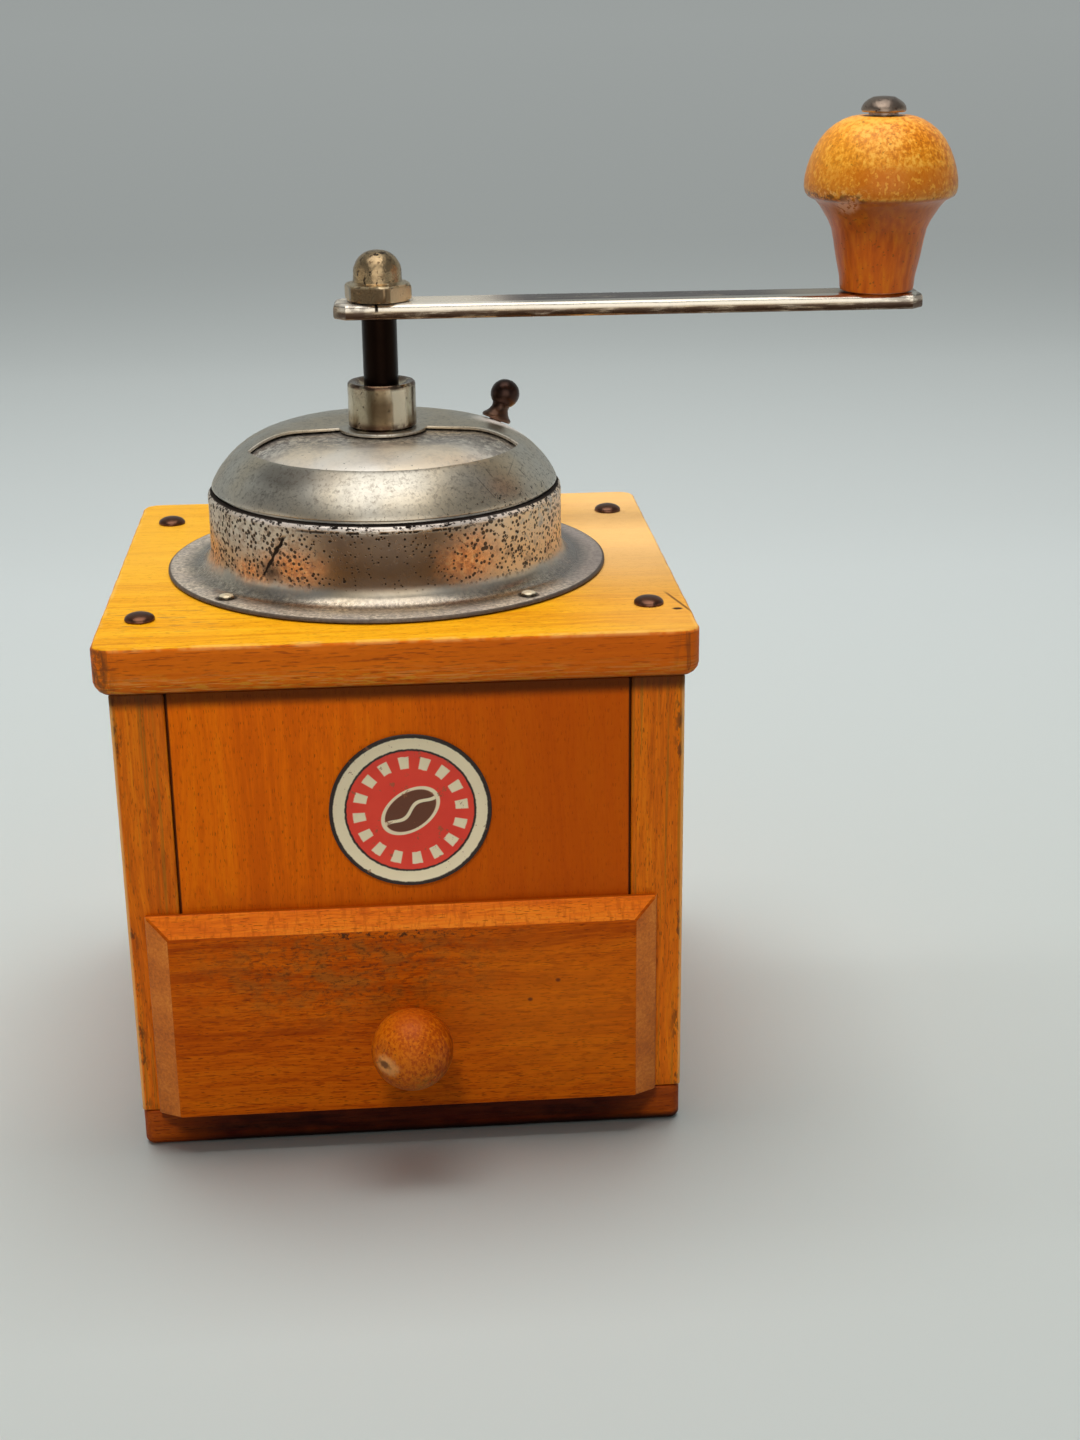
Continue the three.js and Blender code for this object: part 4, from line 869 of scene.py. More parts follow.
def badge_print():
    """A printed round badge: dark rim, cream ring, red field, and a coffee bean in a ring of rays."""
    g = Graph("badge_print")
    cream, ink = (0.9, 0.76, 0.5), (0.02, 0.01, 0.007)
    red = g.mix(g.noise(8, 3, seed=81), (0.74, 0.022, 0.008), (0.94, 0.06, 0.022))
    x, z = g.x - badge.middle.x, g.z - badge.middle.z
    away = g.hypot(x, z) + (g.noise(0.9, 2, seed=82) - 0.5) * 0.35

    def inside(depth):
        limit = badge.size.x / 2 - depth
        return away.fade(limit + 0.12, limit - 0.12)

    g.colour = ink
    for depth, tone in ((0.9, cream), (3.4, ink), (3.9, red)):
        g.tint(inside(depth), tone)
    rays = g.math("SINE", g.math("ARCTAN2", z, x) * 16).fade(-0.1, 0.25)
    g.tint(rays * inside(5.2) * (1.0 - inside(8.0)), cream)
    # The bean leans, and its crease is a wave along its length
    lean, half_length, half_width = math.radians(35), 6.4, 4.2
    long_way = x * math.cos(lean) + z * math.sin(lean)
    cross_way = z * math.cos(lean) - x * math.sin(lean)
    oval = g.hypot(long_way * (1 / half_length), cross_way * (1 / half_width))
    bean = oval.fade(1.02, 0.97)
    crease = abs(cross_way - g.math("SINE", long_way * 0.75) * 0.7).fade(0.5, 0.32)
    g.tint(bean, (0.14, 0.04, 0.015))
    g.tint(bean * crease, cream)
    g.tint(oval.fade(1.16, 1.12) * (1.0 - bean), cream)
    g.tint(g.grain((2.5, 2.5, 2.5), 0.62, 0.66, 4, 0.75, seed=83) * 0.7, (0.3, 0.1, 0.03))
    return g.finish(g.noise(0.7, 2), 0.03, roughness=g.noise(3, 3).between(0.35, 0.6), coat_weight=0.2)


beech_top = wood("beech_top", 0, [(0.62, 0.22, 0.003), (0.78, 0.345, 0.004), (0.84, 0.42, 0.012)],
                 fleck=0.3, rough=0.46, gloss=0.1, seed=1, marks=top_marks)
beech_panel = wood("beech_panel", 2, [(0.7, 0.115, 0.0005), (0.84, 0.155, 0.0005), (0.9, 0.195, 0.001)],
                   fleck=0.4, gloss=0.06, seed=5, marks=panel_marks)
beech_side = wood("beech_side", 2, [(0.56, 0.1, 0.001), (0.78, 0.165, 0.001), (0.86, 0.235, 0.004)],
                  fleck=0.3, seed=9, streak=1.4, marks=strip_marks)
beech_base = wood("beech_base", 0, [(0.24, 0.036, 0.001), (0.36, 0.06, 0.001), (0.46, 0.09, 0.003)],
                  fleck=0.2, seed=13, marks=base_marks)
beech_drawer = wood("beech_drawer", 0, [(0.4, 0.055, 0.0005), (0.6, 0.105, 0.0005), (0.7, 0.15, 0.002)],
                    fleck=0.75, gloss=0.06, seed=17, marks=drawer_marks)
beech_bevel = wood("beech_bevel", 0, [(0.68, 0.11, 0.002), (0.88, 0.19, 0.004), (0.92, 0.27, 0.012)],
                   fleck=0.5, rough=0.36, seed=21, marks=bevel_marks)
beech_raw = wood("beech_raw", 1, [(0.4, 0.22, 0.1), (0.55, 0.34, 0.17), (0.64, 0.43, 0.25)],
                 fleck=0.4, rough=0.62, seed=25)
end_wood = end_grain("end_wood", [(0.42, 0.095, 0.01), (0.66, 0.175, 0.018), (0.8, 0.28, 0.04)])
cap_tones = [(0.56, 0.15, 0.002), (0.8, 0.27, 0.008), (0.94, 0.46, 0.06)]
neck_tones = [(0.53, 0.088, 0.0005), (0.66, 0.13, 0.0005), (0.74, 0.195, 0.002)]
handle_wood = turned_wood("handle_wood", cap_tones + neck_tones, handle_lip_z, 0.45, 31, handle_marks)
ball_tones = [(0.34, 0.052, 0.001), (0.47, 0.085, 0.001), (0.6, 0.145, 0.003)]
ball_wood = turned_wood("ball_wood", ball_tones + ball_tones, 0.0, 0.06, 37, ball_marks, grain_size=0.8)

wall_nickel = metal("wall_nickel", (0.68, 0.63, 0.55), (0.26, 0.4), dirt=0.25, seed=41, marks=wall_marks)
lid_nickel = metal("lid_nickel", (0.72, 0.68, 0.6), (0.3, 0.4), dirt=0.25, seed=44, marks=dome_marks)
moon_nickel = metal("moon_nickel", (0.84, 0.79, 0.71), (0.26, 0.38), dirt=0.3, seed=47, marks=moon_marks)
collar_nickel = metal("collar_nickel", (0.6, 0.51, 0.37), (0.16, 0.26), dirt=0.5, seed=50,
                      brushed=(0.5, 0.5, 8), pits=0.25, pit_size=1.1, marks=collar_marks)
arm_nickel = metal("arm_nickel", (0.58, 0.5, 0.4), (0.2, 0.34), dirt=0.45, seed=53, marks=arm_marks)
nut_nickel = metal("nut_nickel", (0.5, 0.37, 0.22), (0.2, 0.36), dirt=0.7, seed=56, pits=0.45, pit_size=1.3,
                   relief=0.12, marks=nut_marks)
nail_nickel = metal("nail_nickel", (0.92, 0.84, 0.66), (0.2, 0.3), dirt=0.2, seed=59, marks=nail_marks)
dark_steel = metal("dark_steel", (0.014, 0.008, 0.006), (0.25, 0.4), (0.006, 0.004, 0.003), 0.5, seed=62)
brown_metal = metal("brown_metal", (0.2, 0.095, 0.065), (0.22, 0.36), (0.03, 0.012, 0.01), 0.55, seed=65,
                    relief=0.06)
rivet_metal = metal("rivet_metal", (0.36, 0.29, 0.25), (0.22, 0.38), (0.06, 0.04, 0.035), 0.6, seed=68,
                    relief=0.12, pits=0.15)
knob_metal = metal("knob_metal", (0.06, 0.034, 0.028), (0.24, 0.4), (0.02, 0.01, 0.01), 0.4, seed=70,
                   marks=knob_marks)
cast_iron = metal("cast_iron", (0.16, 0.145, 0.13), (0.45, 0.62), (0.03, 0.022, 0.018), 0.6, seed=71,
                  relief=0.15)


# Box


def build_box():
    edges = soft_edges(deck.size.z, low_round=3.0, high_round=0.9)
    board = plate(deck.size, 4.2, edges, wear=0.35, hole=(mill_hole, mill_x), seed=2, side_steps=40)
    make("top_board_wood", "box", moved(board, at(z=deck.low.z)), beech_top, "top_wood", ["top_board"])
    for node, seed in (("left_side_board", 3), ("right_side_board", 4)):
        place = Box(node)
        edges = soft_edges(place.size.x, 0.5, 0.5)
        board = plate(place.size.yz, 0.6, edges, wear=0.3, corner_steps=2, side_steps=60, seed=seed)
        board = moved(board, at(place.low.x, place.middle.y, place.middle.z) @ lying_along("x"))
        make(f"{node}_wood", "box", board, beech_side, "box_wood", [node])
    for node in ("front_panel", "back_panel"):
        place = Box(node)
        edges = soft_edges(place.size.y, 0.35, 0.35)
        board = plate(place.size.xz, 0.3, edges, wear=0.1, corner_steps=2, side_steps=40)
        board = moved(board, at(place.middle.x, place.high.y, place.middle.z) @ lying_along("y"))
        make(f"{node}_wood", "box", board, beech_panel, "box_wood", [node])
    edges = soft_edges(base.size.z, low_round=1.5, high_round=0.6)
    board = plate(base.size, 2.5, edges, wear=0.25, seed=6, side_steps=40)
    make("base_board_wood", "box", moved(board, at(z=base.low.z)), beech_base, "box_wood", ["base_board"])


def build_fixing(node, place, head_z, shank, turns, looks, dent=None):
    """A screw or nail with a low domed head. shank lists radii and heights from the tip to the head."""
    radius, height = place.size.x / 2, place.high.z - head_z
    dome = [(radius * c, height * s) for c, s in arc((0, 0), 1, 0, 81, 9)]
    head = lathe([(0, -0.2), (radius * 0.96, -0.2), *dome, (0, height)], turns[0], dent)
    shank = lathe([(0, place.low.z), *shank, (0, head_z)], turns[1])
    centre = place.middle
    shape = joined(moved(head, at(centre.x, centre.y, head_z)), moved(shank, at(centre.x, centre.y)))
    make(f"{node}_head", "box", shape, looks[0], looks[1], [node])


def build_fixings():
    screw_z, nail_z = deck_z + 0.3, hopper.low.z + 1.15
    for i in range(1, 5):
        def dented(point, seed=i):
            return point * (1 - 0.02 * max(0.0, ripple(point, 2.2, 9.0 * seed)))

        screw = Box(f"top_screw_{i}")
        shank = [(1.2, screw.low.z + 4), (1.8, deck_z - 2), (1.8, screw_z)]
        build_fixing(f"top_screw_{i}", screw, screw_z, shank, (40, 16), (brown_metal, "brown_metal"), dented)
    for i, nail in enumerate(nails, 1):
        shank = [(0.7, nail.low.z + 1), (0.7, nail_z)]
        build_fixing(f"flange_nail_{i}", nail, nail_z, shank, (28, 12), (nail_nickel, "dome_nickel"))


# Hopper and domes


def build_housing():
    """The flange, the rolled fillet, the wall and its rolled lip, inside and outside."""
    wall, fillet = hopper_radius, 4.5
    z0, z1 = hopper.low.z, hopper.high.z
    fillet_centre, lip_centre = (wall + fillet, z0 + sheet + fillet), (wall - lip_round, z1 - lip_round)
    flange = [(-0.35, 0), (0, 0.3), (-0.05, 0.75), (-0.4, sheet), (-2.6, sheet + 0.02)]
    outline = lifted(z0, [(flange_radius + inset, height) for inset, height in flange])
    outline += arc(fillet_centre, fillet, 270, 180, 8)
    outline += [(wall - 0.02, z0 + 7.5 + 1.4 * i) for i in range(7)]
    outline += arc(lip_centre, lip_round, 0, 90, 9) + arc(lip_centre, lip_round - sheet, 90, 0, 4)
    outline += [(wall - sheet, z0 + 6), *arc(fillet_centre, fillet + sheet, 180, 262, 6)]

    def chipped(point):
        outwards = Vector((point.x, point.y, 0))
        reach = outwards.length
        if point.z > z1 - 1.9 and reach > wall - 1.5:
            knock = 0.3 * max(0.0, ripple(point, 2.4, 5)) + 0.16 * max(0.0, ripple(point, 0.9, 8))
            return point - outwards.normalized() * knock - Vector((0, 0, 0.5 * knock))
        if reach > wall - 0.3 and point.z > z0 + 6:
            return point - outwards.normalized() * (0.06 + 0.06 * ripple(point, 9, 2))
        return point

    shape = moved(lathe(outline, 200, chipped, bored=True), at(mill_x))
    make("hopper_shell", "box", shape, wall_nickel, "hopper_nickel", ["hopper_housing"], angle=50)


def dome_curve(inset, steps=48):
    """The dome's line from its flat crown to its rim, moved inwards by inset."""
    span, height = lid_radius - crown_flat, crown_z - rim_z
    a, b = Vector((crown_flat, crown_z)), Vector((crown_flat + 0.72 * span, crown_z))
    c, d = Vector((lid_radius, rim_z + 0.08 * height)), Vector((lid_radius, rim_z))
    line = []
    for i in range(steps + 1):
        t = i / steps
        s = 1 - t
        point = a * s**3 + b * 3 * s * s * t + c * 3 * s * t * t + d * t**3
        slope = ((b - a) * s * s + (c - b) * 2 * s * t + (d - c) * t * t).normalized()
        line.append(point + Vector((slope.y, -slope.x)) * inset)
    return line


def dome_rings(inset, bore, eye, moon):
    """Radii and heights of a dome's rings from its bore to its rim, with one each at the moon's limits."""
    curve = dome_curve(inset)
    line = [(bore, curve[0].y)] + [(radius, curve[0].y) for radius in (eye, moon) if radius < curve[0].x]
    line += [(p.x, p.y) for p in curve[::2]]
    for radius in (eye, moon):
        for p, q in zip(curve, curve[1:]):
            if p.x < radius <= q.x:
                share = (radius - p.x) / (q.x - p.x)
                line.append((radius, p.y + share * (q.y - p.y)))
    line = sorted(set(line), key=lambda point: (point[0], -point[1]))
    kept = [line[0]]
    for point in line[1:]:
        special = any(abs(point[0] - r) < 1e-6 for r in (eye, moon))
        if point[0] - kept[-1][0] > 0.25 or special:
            kept.append(point)
    return kept


def dome_with_moon(inset, bore, eye, moon, edge, skirt=(), sink=None):
    """Top sheet of a dome with a half-moon opening on its -Y side: a polar grid whose rows end on the
    far edge, whose y is given for each radius. Rings run from the bore to the rim, then down the skirt."""
    rings = dome_rings(inset, bore, eye, moon) + list(skirt)
    back_steps, front_steps = 56, 64
    count = back_steps + front_steps
    points, faces = [], []
    for radius, height in rings:
        start = math.asin(edge(radius) / radius)
        back = [start + (math.pi - 2 * start) * i / back_steps for i in range(back_steps)]
        fore = [math.pi - start + (math.pi + 2 * start) * i / front_steps for i in range(front_steps)]
        for turn in back + fore:
            point = Vector((radius * math.cos(turn), radius * math.sin(turn), height))
            points.append(sink(point) if sink else point)
    for j, ((radius, height), (next_radius, _)) in enumerate(zip(rings, rings[1:])):
        cut = radius > eye - 1e-4 and next_radius < moon + 1e-4 and height > rim_z
        row, other = j * count, (j + 1) * count
        for i in range(back_steps if cut else count):
            k = (i + 1) % count
            faces.append((row + i, other + i, other + k, row + k))
    return points, faces


def thicken(piece, thickness):
    """Gives a sheet its thickness inwards and a small round on its cut edges."""
    edge_round = 0.12
    solid = piece.modifiers.new("sheet", "SOLIDIFY")
    solid.thickness = thickness * MM
    solid.offset = -1
    solid.use_even_offset = True
    edge = piece.modifiers.new("edge", "BEVEL")
    edge.width = edge_round * MM
    edge.segments = 2
    edge.limit_method = "ANGLE"
    edge.angle_limit = math.radians(50)


def bowed_edge(eye, eye_y, moon, moon_y):
    """The y of a half-moon's far edge at each radius, through its places at the eye and at the corners."""
    bow = (eye_y - moon_y) / (moon**2 - eye**2)
    return lambda radius: eye_y - bow * (radius**2 - eye**2)


def worn_dome(point):
    """A thin sheet: a little wavy, lifted at the opening's left corner and beaded round the eye."""
    x, y, reach = point.x, point.y, math.hypot(point.x, point.y)
    edge_y, lift_start, lift_end, bead_radius = -4, -6, -33, 8.9
    near_edge = max(0.0, 1 - abs(y - edge_y) / 9) if reach < moon_radius + 1 else 0
    along_edge = max(0.0, min(1.0, (lift_start - x) / 16)) * max(0.0, min(1.0, (x - lift_end) / 6))
    bead = max(0.0, 1 - abs(reach - bead_radius)) ** 0.6
    wave = 0.06 * ripple(point, 13, 3) - 0.08
    return point + Vector((0, 0, wave + 0.25 * near_edge * along_edge + bead))


def build_domes():
    edge = bowed_edge(eye_radius, -1.2, moon_radius, -8.6)
    shape = dome_with_moon(0.0, 7.3, eye_radius, moon_radius, edge, sink=worn_dome)
    shape = moved(shape, at(mill_x))
    piece = make("lid_dome_sheet", "lid", shape, lid_nickel, "dome_nickel", ["lid_dome"])
    thicken(piece, 0.7)
    # The fixed dome lies under it, turned round, and its skirt hooks over the lip's inside
    top, inner_eye, inner_moon = hopper.high.z, 13.0, moon_radius - 1.2
    reach, skirt_radius = hopper_radius - lip_round - 0.2, hopper_radius - 1.2
    skirt = [(reach, top - 1.0), (skirt_radius, top - lip_round), (skirt_radius, top - 6)]
    edge = bowed_edge(inner_eye, -5.0, inner_moon, -12.4)
    shape = dome_with_moon(1.15, 5.75, inner_eye, inner_moon, edge, skirt)
    shape = moved(shape, at(mill_x) @ about("Z", math.pi))
    piece = make("inner_dome_sheet", "box", shape, moon_nickel, "dome_nickel", ["inner_dome"])
    thicken(piece, 0.9)


def build_lid_knob():
    """The knob stands square on the dome, a quarter of the way down its curve."""
    before, foot, after = dome_curve(0.0, 100)[24:27]
    step = after - before
    place = at(mill_x) @ about("Z", math.radians(24)) @ at(foot.x, 0, foot.y)
    place = place @ about("Y", math.atan2(-step.y, step.x))
    outline = [(0, -0.95), (1.5, -0.95), (1.5, 0.1), (3.35, 0.1), (3.6, 0.55), (3.5, 0.95), (2.95, 1.45)]
    outline += [(2.45, 2.1), (2.1, 2.9), (2.05, 3.5), (2.2, 4.1)]
    outline += arc((0, 6.7), 3.5, -47, 90, 12)[:-1] + [(0, 10.2)]
    make("lid_knob_turned", "lid", moved(lathe(outline, 48), place), knob_metal, "brown_metal", ["lid_knob"])


def build_collar():
    bore, neck = 4.45, 5.6
    outline = [(bore, sleeve.low.z), (neck, sleeve.low.z)]
    shoulder = [(neck, -3), (6.9, -1.2), (6.9, 0), (7.75, 0), (8.0, 0.25), (8.0, 3), (7.97, 6)]
    brim = [(8.0, -1.0), (7.9, -0.35), (7.55, -0.02), (6.7, 0), (6.3, -0.12), (5.1, -0.9), (bore, -1.5)]
    outline += lifted(crown_z + 0.3, shoulder) + lifted(sleeve.high.z, brim)
    shape = moved(lathe(outline, 80, bored=True), at(mill_x))
    make("collar", "box", shape, collar_nickel, "crank_nickel", ["bearing_sleeve"], angle=40)


# Crank


def build_crank():
    shoulder, thread = 4.1, 3.0
    outline = lifted(shaft.low.z, [(0, 0), (thread, 1.2), (thread, 10), (shoulder - 0.05, 11)])
    outline += [(shoulder, 120), (shoulder, 150), (shoulder, arm.low.z - 0.35), (thread, arm.low.z - 0.35)]
    outline += lifted(nut.high.z - 3.4, [(thread, 0), (0, 0)])
    bar = moved(lathe(outline, 48), at(mill_x))
    make("shaft_bar", "crank", bar, dark_steel, "dark_steel", ["drive_shaft"])
    hub_end, far_end, width = 10.4, 10.3, 13.0
    edges = soft_edges(arm.size.z, 0.5, 1.2, 2)
    size = (arm_reach + hub_end + far_end, width)
    bar = plate(size, 2.9, edges, wear=0.1, corner_steps=1, side_steps=60, seed=11)
    place = at(mill_x) @ about("Z", arm_turn) @ at((arm_reach + far_end - hub_end) / 2, 0, arm.low.z)
    make("arm_bar", "crank", moved(bar, place), arm_nickel, "crank_nickel", ["crank_arm"], angle=28)


def build_acorn():
    flats, turn, cap, crown_height = 14.2, math.radians(11.25), 5.75, 5.3

    def hexagon(limit):
        def reach(angle):
            turned = (angle - turn - math.pi / 6) % (math.pi / 3) - math.pi / 6
            return min(flats / 2 / math.cos(turned), limit)

        return reach

    outline = lifted(nut.low.z, [(3.2, 0), (hexagon(7.3), 0), (hexagon(7.9), 0.35), (hexagon(8.15), 0.9)])
    chamfer = [(hexagon(8.15), -0.9), (hexagon(7.85), -0.5), (hexagon(7.35), -0.12), (6.9, 0)]
    outline += lifted(hex_top_z, chamfer + [(cap + 0.35, 0.1), (cap + 0.05, 0.4), (cap, 1.1)])
    crown_foot = nut.high.z - crown_height
    outline += [(cap * c**0.88, crown_foot + crown_height * s) for c, s in arc((0, 0), 1, 0, 90, 12)[:-1]]
    outline.append((0, nut.high.z))

    def hammered(point):
        return thinned(point, 0.02 * (1 + ripple(point, 1.7, 4))) if point.z > hex_top_z + 0.3 else point

    shape = moved(lathe(outline, 96, hammered), at(mill_x))
    make("acorn_nut_cap", "crank", shape, nut_nickel, "crank_nickel", ["acorn_nut"], angle=30)


def build_handle():
    lip_z, bore = handle_lip_z, 2.35
    place = at(handle.middle.x, handle.middle.y)
    outline = lifted(handle.low.z, [
        (bore, 0), (7.9, 0), (8.45, 0.25), (8.6, 0.9), (8.75, 3), (9.3, 5.6), (9.8, 7.9), (10.4, 11.4),
        (11.0, 14.2), (11.9, 16.2), (12.9, 17.8), (14.0, 19.5), (15.1, 20.7), (16.3, 21.3),
    ])
    outline += lifted(lip_z, [
        (17.0, -0.3), (17.4, 0.4), (17.6, 1.6), (17.58, 3.0), (17.4, 4.2), (17.0, 6), (16.35, 8),
        (15.4, 10.2), (14.2, 12.2), (12.8, 13.9), (11.0, 15.4), (9.3, 16.4),
    ])
    outline += lifted(handle.high.z, [(7.6, -0.25), (6.6, -0.05), (6.0, 0), (bore, 0)])

    def worn(point):
        if abs(point.z - lip_z) < 1.2:
            knock = 0.3 * max(0.0, ripple(point, 2.6, 6))
            return point - Vector((point.x, point.y, 0)).normalized() * knock
        if point.z > lip_z + 8:
            return point - Vector((0, 0, 0.12 * max(0.0, ripple(point, 6, 7))))
        return point

    shape = moved(lathe(outline, 120, worn, bored=True), place)
    make("handle_mushroom", "handle", shape, handle_wood, "turned_wood", ["handle_knob"])
    pin, collar_z = 2.0, handle.high.z + 0.3
    outline = lifted(arm.low.z - 0.45, [(0, 0), (2.6, 0), (3.1, 0.2), (3.1, 0.44), (pin, 0.5)])
    outline += lifted(collar_z, [
        (pin, 0), (3.4, 0), (3.4, 0.6), (4.9, 0.6), (5.25, 0.85), (5.3, 1.2), (5.05, 1.9), (4.5, 2.6),
        (3.7, 3.2),
    ])
    outline += lifted(rivet.high.z, [(2.6, -0.2), (1.3, -0.04), (0, 0)])

    def peened(point):
        return thinned(point, 0.035 * (1 + ripple(point, 2.4, 12))) if point.z > collar_z + 0.8 else point

    shape = moved(lathe(outline, 56, peened), place)
    make("handle_rivet", "crank", shape, rivet_metal, "brown_metal", ["handle_pin"])


# Drawer


def bevelled_board(edge_y, back_y, bevel, top_bevel):
    """The raised front board, bevelled at both sides and along the top, with softened edges."""
    x0, x1, z0, z1 = front.low.x, front.high.x, front.low.z, front.high.z
    outer = [(x0, z0), (x1, z0), (x1, z1), (x0, z1)]
    inner = [(x0 + bevel, z0), (x1 - bevel, z0), (x1 - bevel, z1 - top_bevel), (x0 + bevel, z1 - top_bevel)]
    work = bmesh.new()
    loops = [
        [work.verts.new((x, y, z)) for x, z in loop]
        for loop, y in ((outer, back_y), (outer, edge_y), (inner, front.low.y))
    ]
    for a, b in zip(loops, loops[1:]):
        for i in range(4):
            j = (i + 1) % 4
            work.faces.new((a[i], a[j], b[j], b[i]))
    work.faces.new(list(reversed(loops[0])))
    work.faces.new(loops[2])
    bmesh.ops.recalc_face_normals(work, faces=work.faces)
    bmesh.ops.bevel(work, geom=work.edges[:], offset=0.35, segments=3, profile=0.5, affect="EDGES")
    work.verts.ensure_lookup_table()
    shape = [v.co.copy() for v in work.verts], [tuple(v.index for v in f.verts) for f in work.faces]
    work.free()
    return shape


def build_drawer_front():
    back_y = front.low.y + 4.0
    edge_y = back_y - 1.2
    board = bevelled_board(edge_y, back_y, bevel=5.2, top_bevel=5.0)
    # The block behind the board, which fills the bay's opening
    left, right = Box("drawer_left_side"), Box("drawer_right_side")
    block_y, low_z, high_z = left.low.y - 0.2, front.low.z, panel.low.z - 0.5
    edges = soft_edges(block_y - edge_y, 0.3, 0.3)
    block = plate((right.high.x - left.low.x, high_z - low_z), 0.4, edges, corner_steps=2, side_steps=6)
    block = moved(block, at(0, block_y, (low_z + high_z) / 2) @ lying_along("y"))

    def chosen(centre, normal):
        if normal.z > 0.4 and centre.y < back_y + 0.1:
            return 1
        if centre.y > edge_y + 0.2:
            return 3
        return 2 if abs(normal.x) > 0.4 else 0

    materials = [beech_drawer, beech_bevel, end_wood, beech_raw]
    shape = joined(board, block)
    make("drawer_front_board", "drawer", shape, materials, "box_wood", ["drawer_front"], chosen=chosen)


def build_ball():
    radius, neck, spigot, depth, reach = 9.2, 5.0, 4, -7.8, 10.0
    outline = [(0, depth), (spigot, depth), (spigot, 0.15), (neck, 0.15), (neck + 0.1, 1.0)]
    outline += arc((0, reach), radius, -57, 90, 26)[:-1] + [(0, reach + radius)]
    chip_place, chip_size = Vector((-6.3, 1.6, 15.2)), 3.6

    def chipped(point):
        away = (point - chip_place).length
        if away < chip_size:
            depth_here = 0.9 * (1 - away / chip_size) * (1 + 0.7 * ripple(point, 1.0, 3))
            return point + Vector((0.5, -0.1, -0.6)) * depth_here
        return thinned(point, 0.006 * (1 + ripple(point, 5, 9)))

    turned = at(0, front.low.y, ball.middle.z) @ lying_along("y")
    shape = moved(lathe(outline, 72, chipped), turned)
    make("drawer_ball", "drawer", shape, ball_wood, "turned_wood", ["drawer_knob"])


def build_badge():
    radius, thick = badge.size.x / 2, badge.size.y
    sunk = thick - 0.1
    outline = [(0, 0), (radius - 0.1, 0), (radius, 0.1), (radius, thick - 0.12), (radius - 0.12, thick)]
    outline += [(radius - 0.8, thick), (radius - 1.0, sunk), (radius * 0.5, sunk), (0, sunk)]
    turned = at(badge.middle.x, badge.high.y, badge.middle.z) @ lying_along("y")
    disc = moved(lathe(outline, 96), turned)
    make("badge_disc", "box", disc, badge_print(), "badge_print", ["front_badge"])


# CAD nodes that are shown as they are


def dress_frame():
    kept = {
        wall_nickel: ["sleeve_nut"],
        arm_nickel: ["adjusting_nut"],
        cast_iron: ["mill_funnel", "burr_ring", "burr_cone", "bearing_bridge"],
        beech_raw: ["drawer_left_side", "drawer_right_side", "drawer_back", "drawer_bottom"],
        dark_steel: ["thrust_pin", "cone_pin", *(f"base_screw_{i}" for i in range(1, 5))]
        + [f"{kind}_{i}" for kind in ("ring_screw", "bridge_rivet") for i in (1, 2)],
    }
    for material, names in kept.items():
        for name in names:
            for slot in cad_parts[name].material_slots:
                slot.link = "OBJECT"
                slot.material = material


# Stage


def build_floor():
    """A pale sweep: a floor that curves up into a backdrop, and glows a little where no lamp reaches."""
    bend, bend_start, top, wide = 1.2, 1.6, 4.0, 6.0
    line = [(y, 0.0) for y in (-wide, -3.0, -1.2, -0.4, 0.4, 1.2)]
    line += arc((bend_start, bend), bend, -90, 0, 15) + [(bend_start + bend, top)]
    count = len(line)
    mesh = bpy.data.meshes.new("sweep")
    points = [(x, y, z) for x in (-wide, wide) for y, z in line]
    mesh.from_pydata(points, [], [(i, i + count, i + count + 1, i + 1) for i in range(count - 1)])
    mesh.shade_smooth()
    g = Graph("pale_paper")
    # Tones by the distance along the sweep, in metres from the object
    low, high = -0.4, 4.0
    share = g.math("DIVIDE", (g.y + g.z) * MM - low, high - low, clamp=True)
    paper = [(-0.4, 0.77), (0.0, 0.79), (0.4, 0.82), (0.9, 0.69), (1.6, 0.31), (3.0, 0.1)]
    glow = [(-0.4, 0.0), (0.5, 0.0), (1.0, 0.07), (1.6, 0.21), (2.4, 0.29), (3.4, 0.3)]

    def tones(levels):
        """Grey levels by distance, a little green, and warmer close to the object."""
        stops = []
        for distance, level in levels:
            tone = scaled_tone((0.96, 1.02, 0.97 if distance < 0.1 else 1.0), level)
            stops.append(((distance - low) / (high - low), tone))
        return share.ramp(*stops)

    around = abs(g.x).fade(900, 2400) | g.y.fade(-800, -2200)
    g.set(base_color=tones(paper), roughness=0.9, specular_ior_level=0.1)
    g.set(emission_color=g.mix(around, tones(glow), (0.33, 0.35, 0.345)), emission_strength=1.0)
    mesh.materials.append(g.material)
    sweep = linked("sweep", mesh)
    sweep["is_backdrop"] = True


def area_light(name, place, target, size, power, colour=(1, 1, 1)):
    lamp = bpy.data.lights.new(name, "AREA")
    lamp.shape = "RECTANGLE"
    lamp.size, lamp.size_y = size
    lamp.energy = power
    lamp.color = colour
    thing = linked(name, lamp)
    thing.location = place
    thing.rotation_mode = "QUATERNION"
    thing.rotation_quaternion = (Vector(target) - Vector(place)).to_track_quat("-Z", "Y")
    thing.visible_glossy = False
    return thing


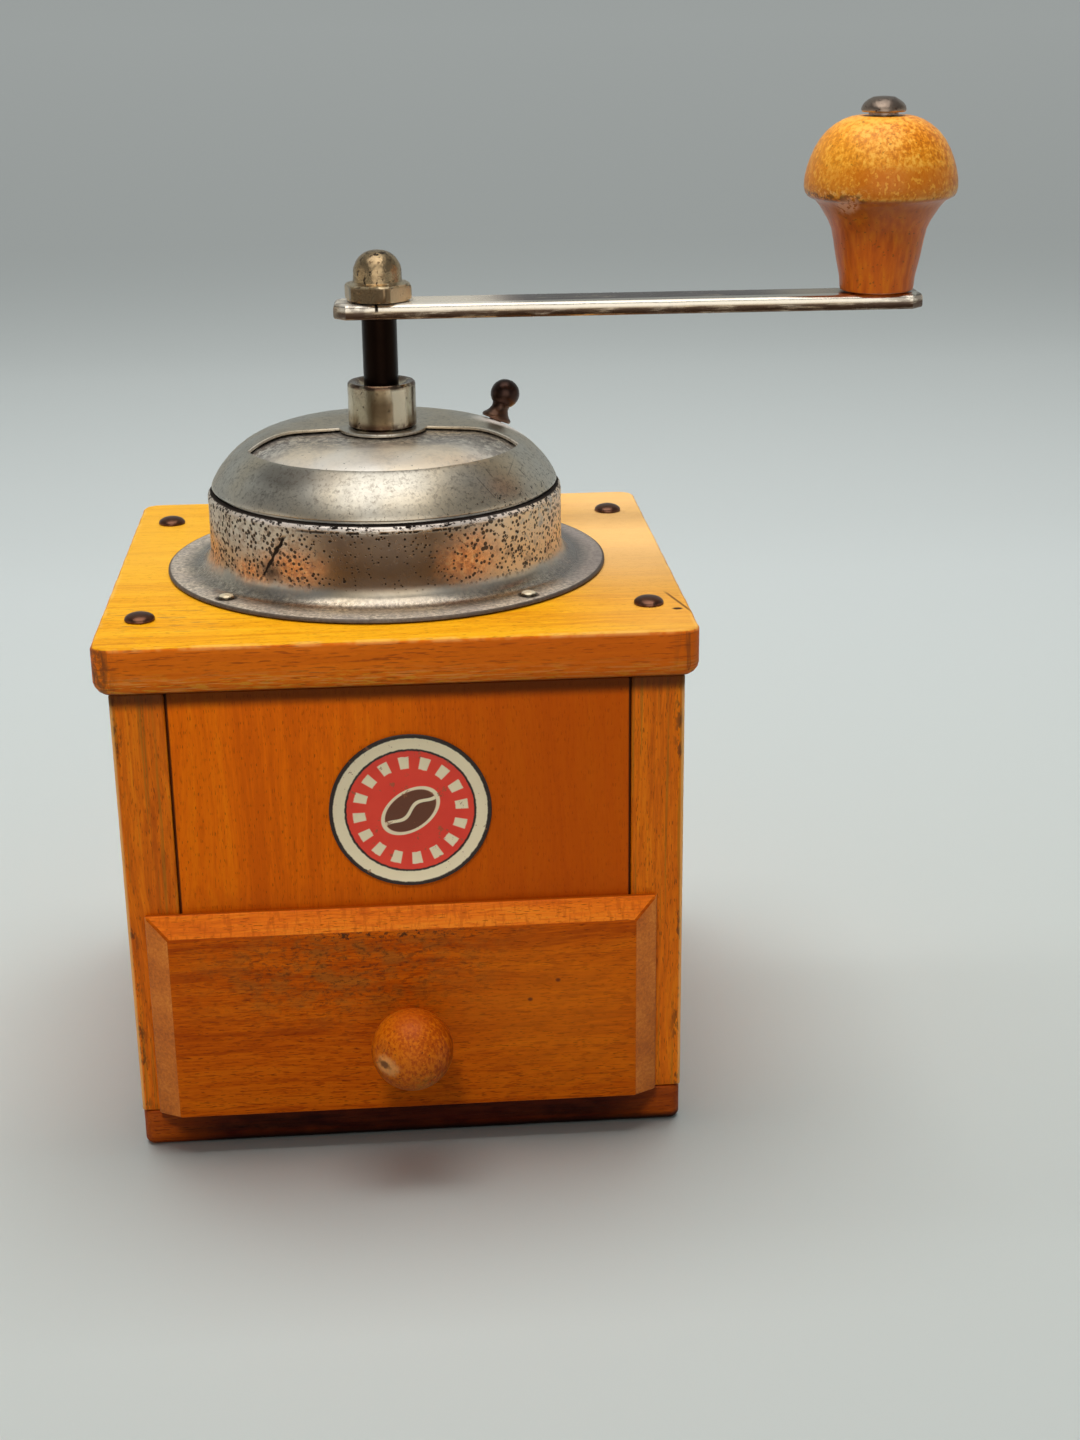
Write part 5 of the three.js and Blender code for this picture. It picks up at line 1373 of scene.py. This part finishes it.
def reflected_card(name, places, glow):
    """A card that only shows in shiny metal."""
    mesh = bpy.data.meshes.new(name)
    mesh.from_pydata(places, [], [(0, 1, 2, 3)])
    material = bpy.data.materials.new(name)
    nodes, links = fresh_nodes(material)
    output = nodes.new("ShaderNodeOutputMaterial")
    light = nodes.new("ShaderNodeEmission")
    light.inputs["Color"].default_value = (*glow, 1)
    links.new(light.outputs[0], output.inputs["Surface"])
    mesh.materials.append(material)
    card = linked(name, mesh)
    card.visible_camera = False
    card.visible_diffuse = False
    card.visible_shadow = False
    card.visible_transmission = False
    card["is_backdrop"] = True


def build_world(light, seen):
    """An even world: a dim light, and a paler backdrop where the camera sees past the floor."""
    world = bpy.data.worlds.new("studio")
    nodes, links = fresh_nodes(world)
    path = nodes.new("ShaderNodeLightPath")
    mix = nodes.new("ShaderNodeMixShader")
    output = nodes.new("ShaderNodeOutputWorld")
    for i, tone in enumerate((light, seen)):
        background = nodes.new("ShaderNodeBackground")
        background.inputs["Color"].default_value = (*tone, 1)
        links.new(background.outputs[0], mix.inputs[1 + i])
    links.new(path.outputs["Is Camera Ray"], mix.inputs[0])
    links.new(mix.outputs[0], output.inputs["Surface"])
    bpy.context.scene.world = world


def build_lights():
    """A soft box overhead and behind, a key lamp in front that lights only the object, and a dim world."""
    target = (0.0, 0.0, 0.08)
    area_light("overhead", (0.0, 0.26, 1.35), target, (1.2, 0.8), 13.5)
    key = area_light("key", (-0.25, -0.95, 1.68), target, (0.35, 0.35), 18, (1.0, 0.98, 0.95))
    lit = bpy.data.collections.new("lit_by_key")
    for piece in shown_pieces():
        lit.objects.link(piece)
    key.light_linking.receiver_collection = lit
    build_world((0.155, 0.16, 0.16), (0.5, 0.51, 0.505))
    low_front = [(-0.34, -0.2, 0.004), (0.34, -0.2, 0.004), (0.42, -0.7, 0.058), (-0.42, -0.7, 0.058)]
    reflected_card("dark_card", low_front, (0.15, 0.1, 0.065))
    high_front = [(-0.5, -1.25, 0.03), (0.65, -1.25, 0.03), (0.65, -1.25, 1.1), (-0.5, -1.25, 1.1)]
    reflected_card("front_card", high_front, (1.2, 1.17, 1.09))
    over = [(-0.7, -0.95, 1.3), (0.5, -0.95, 1.3), (0.5, 0.1, 1.5), (-0.7, 0.1, 1.5)]
    reflected_card("soft_box", over, (1.9, 1.86, 1.76))
    over_back = [(-0.5, 0.1, 1.5), (0.5, 0.1, 1.5), (0.5, 0.6, 1.5), (-0.5, 0.6, 1.5)]
    reflected_card("soft_box_back", over_back, (1.2, 1.18, 1.12))
    for side in (-1, 1):
        ends = [(-0.7, 0.02), (0.3, 0.02), (0.3, 0.5), (-0.7, 0.5)]
        reflected_card(f"side_card_{side + 2}", [(1.1 * side, y, z) for y, z in ends], (0.5, 0.48, 0.44))


def build_camera():
    """The photograph's camera: it looks down a little and is turned slightly to the right."""
    yaw, pitch, roll = -0.07502532, 0.34625617, 0.01157049
    focal_pixels, photo_height, film = 2116.8324, 1440, 36
    place = Vector((-2.23127, -495.744414, 259.022925)) * MM
    level = Vector((math.cos(yaw), math.sin(yaw), 0))
    ahead = Vector((-math.sin(yaw), math.cos(yaw), 0))
    up = Vector((0, 0, 1))
    forward = math.cos(pitch) * ahead - math.sin(pitch) * up
    raised = math.sin(pitch) * ahead + math.cos(pitch) * up
    right = math.cos(roll) * level - math.sin(roll) * raised
    above = math.sin(roll) * level + math.cos(roll) * raised
    data = bpy.data.cameras.new("camera")
    data.sensor_width = film
    data.lens = film * focal_pixels / photo_height
    data.clip_start, data.clip_end = 0.01, 50
    camera = linked("camera", data)
    camera.matrix_world = Matrix.Translation(place) @ Matrix((right, above, -forward)).transposed().to_4x4()
    bpy.context.scene.camera = camera


build_box()
build_fixings()
build_housing()
build_domes()
build_lid_knob()
build_collar()
build_crank()
build_acorn()
build_handle()
build_drawer_front()
build_ball()
build_badge()
dress_frame()
build_floor()
build_lights()
build_camera()
bpy.context.scene.view_settings.view_transform = "Standard"
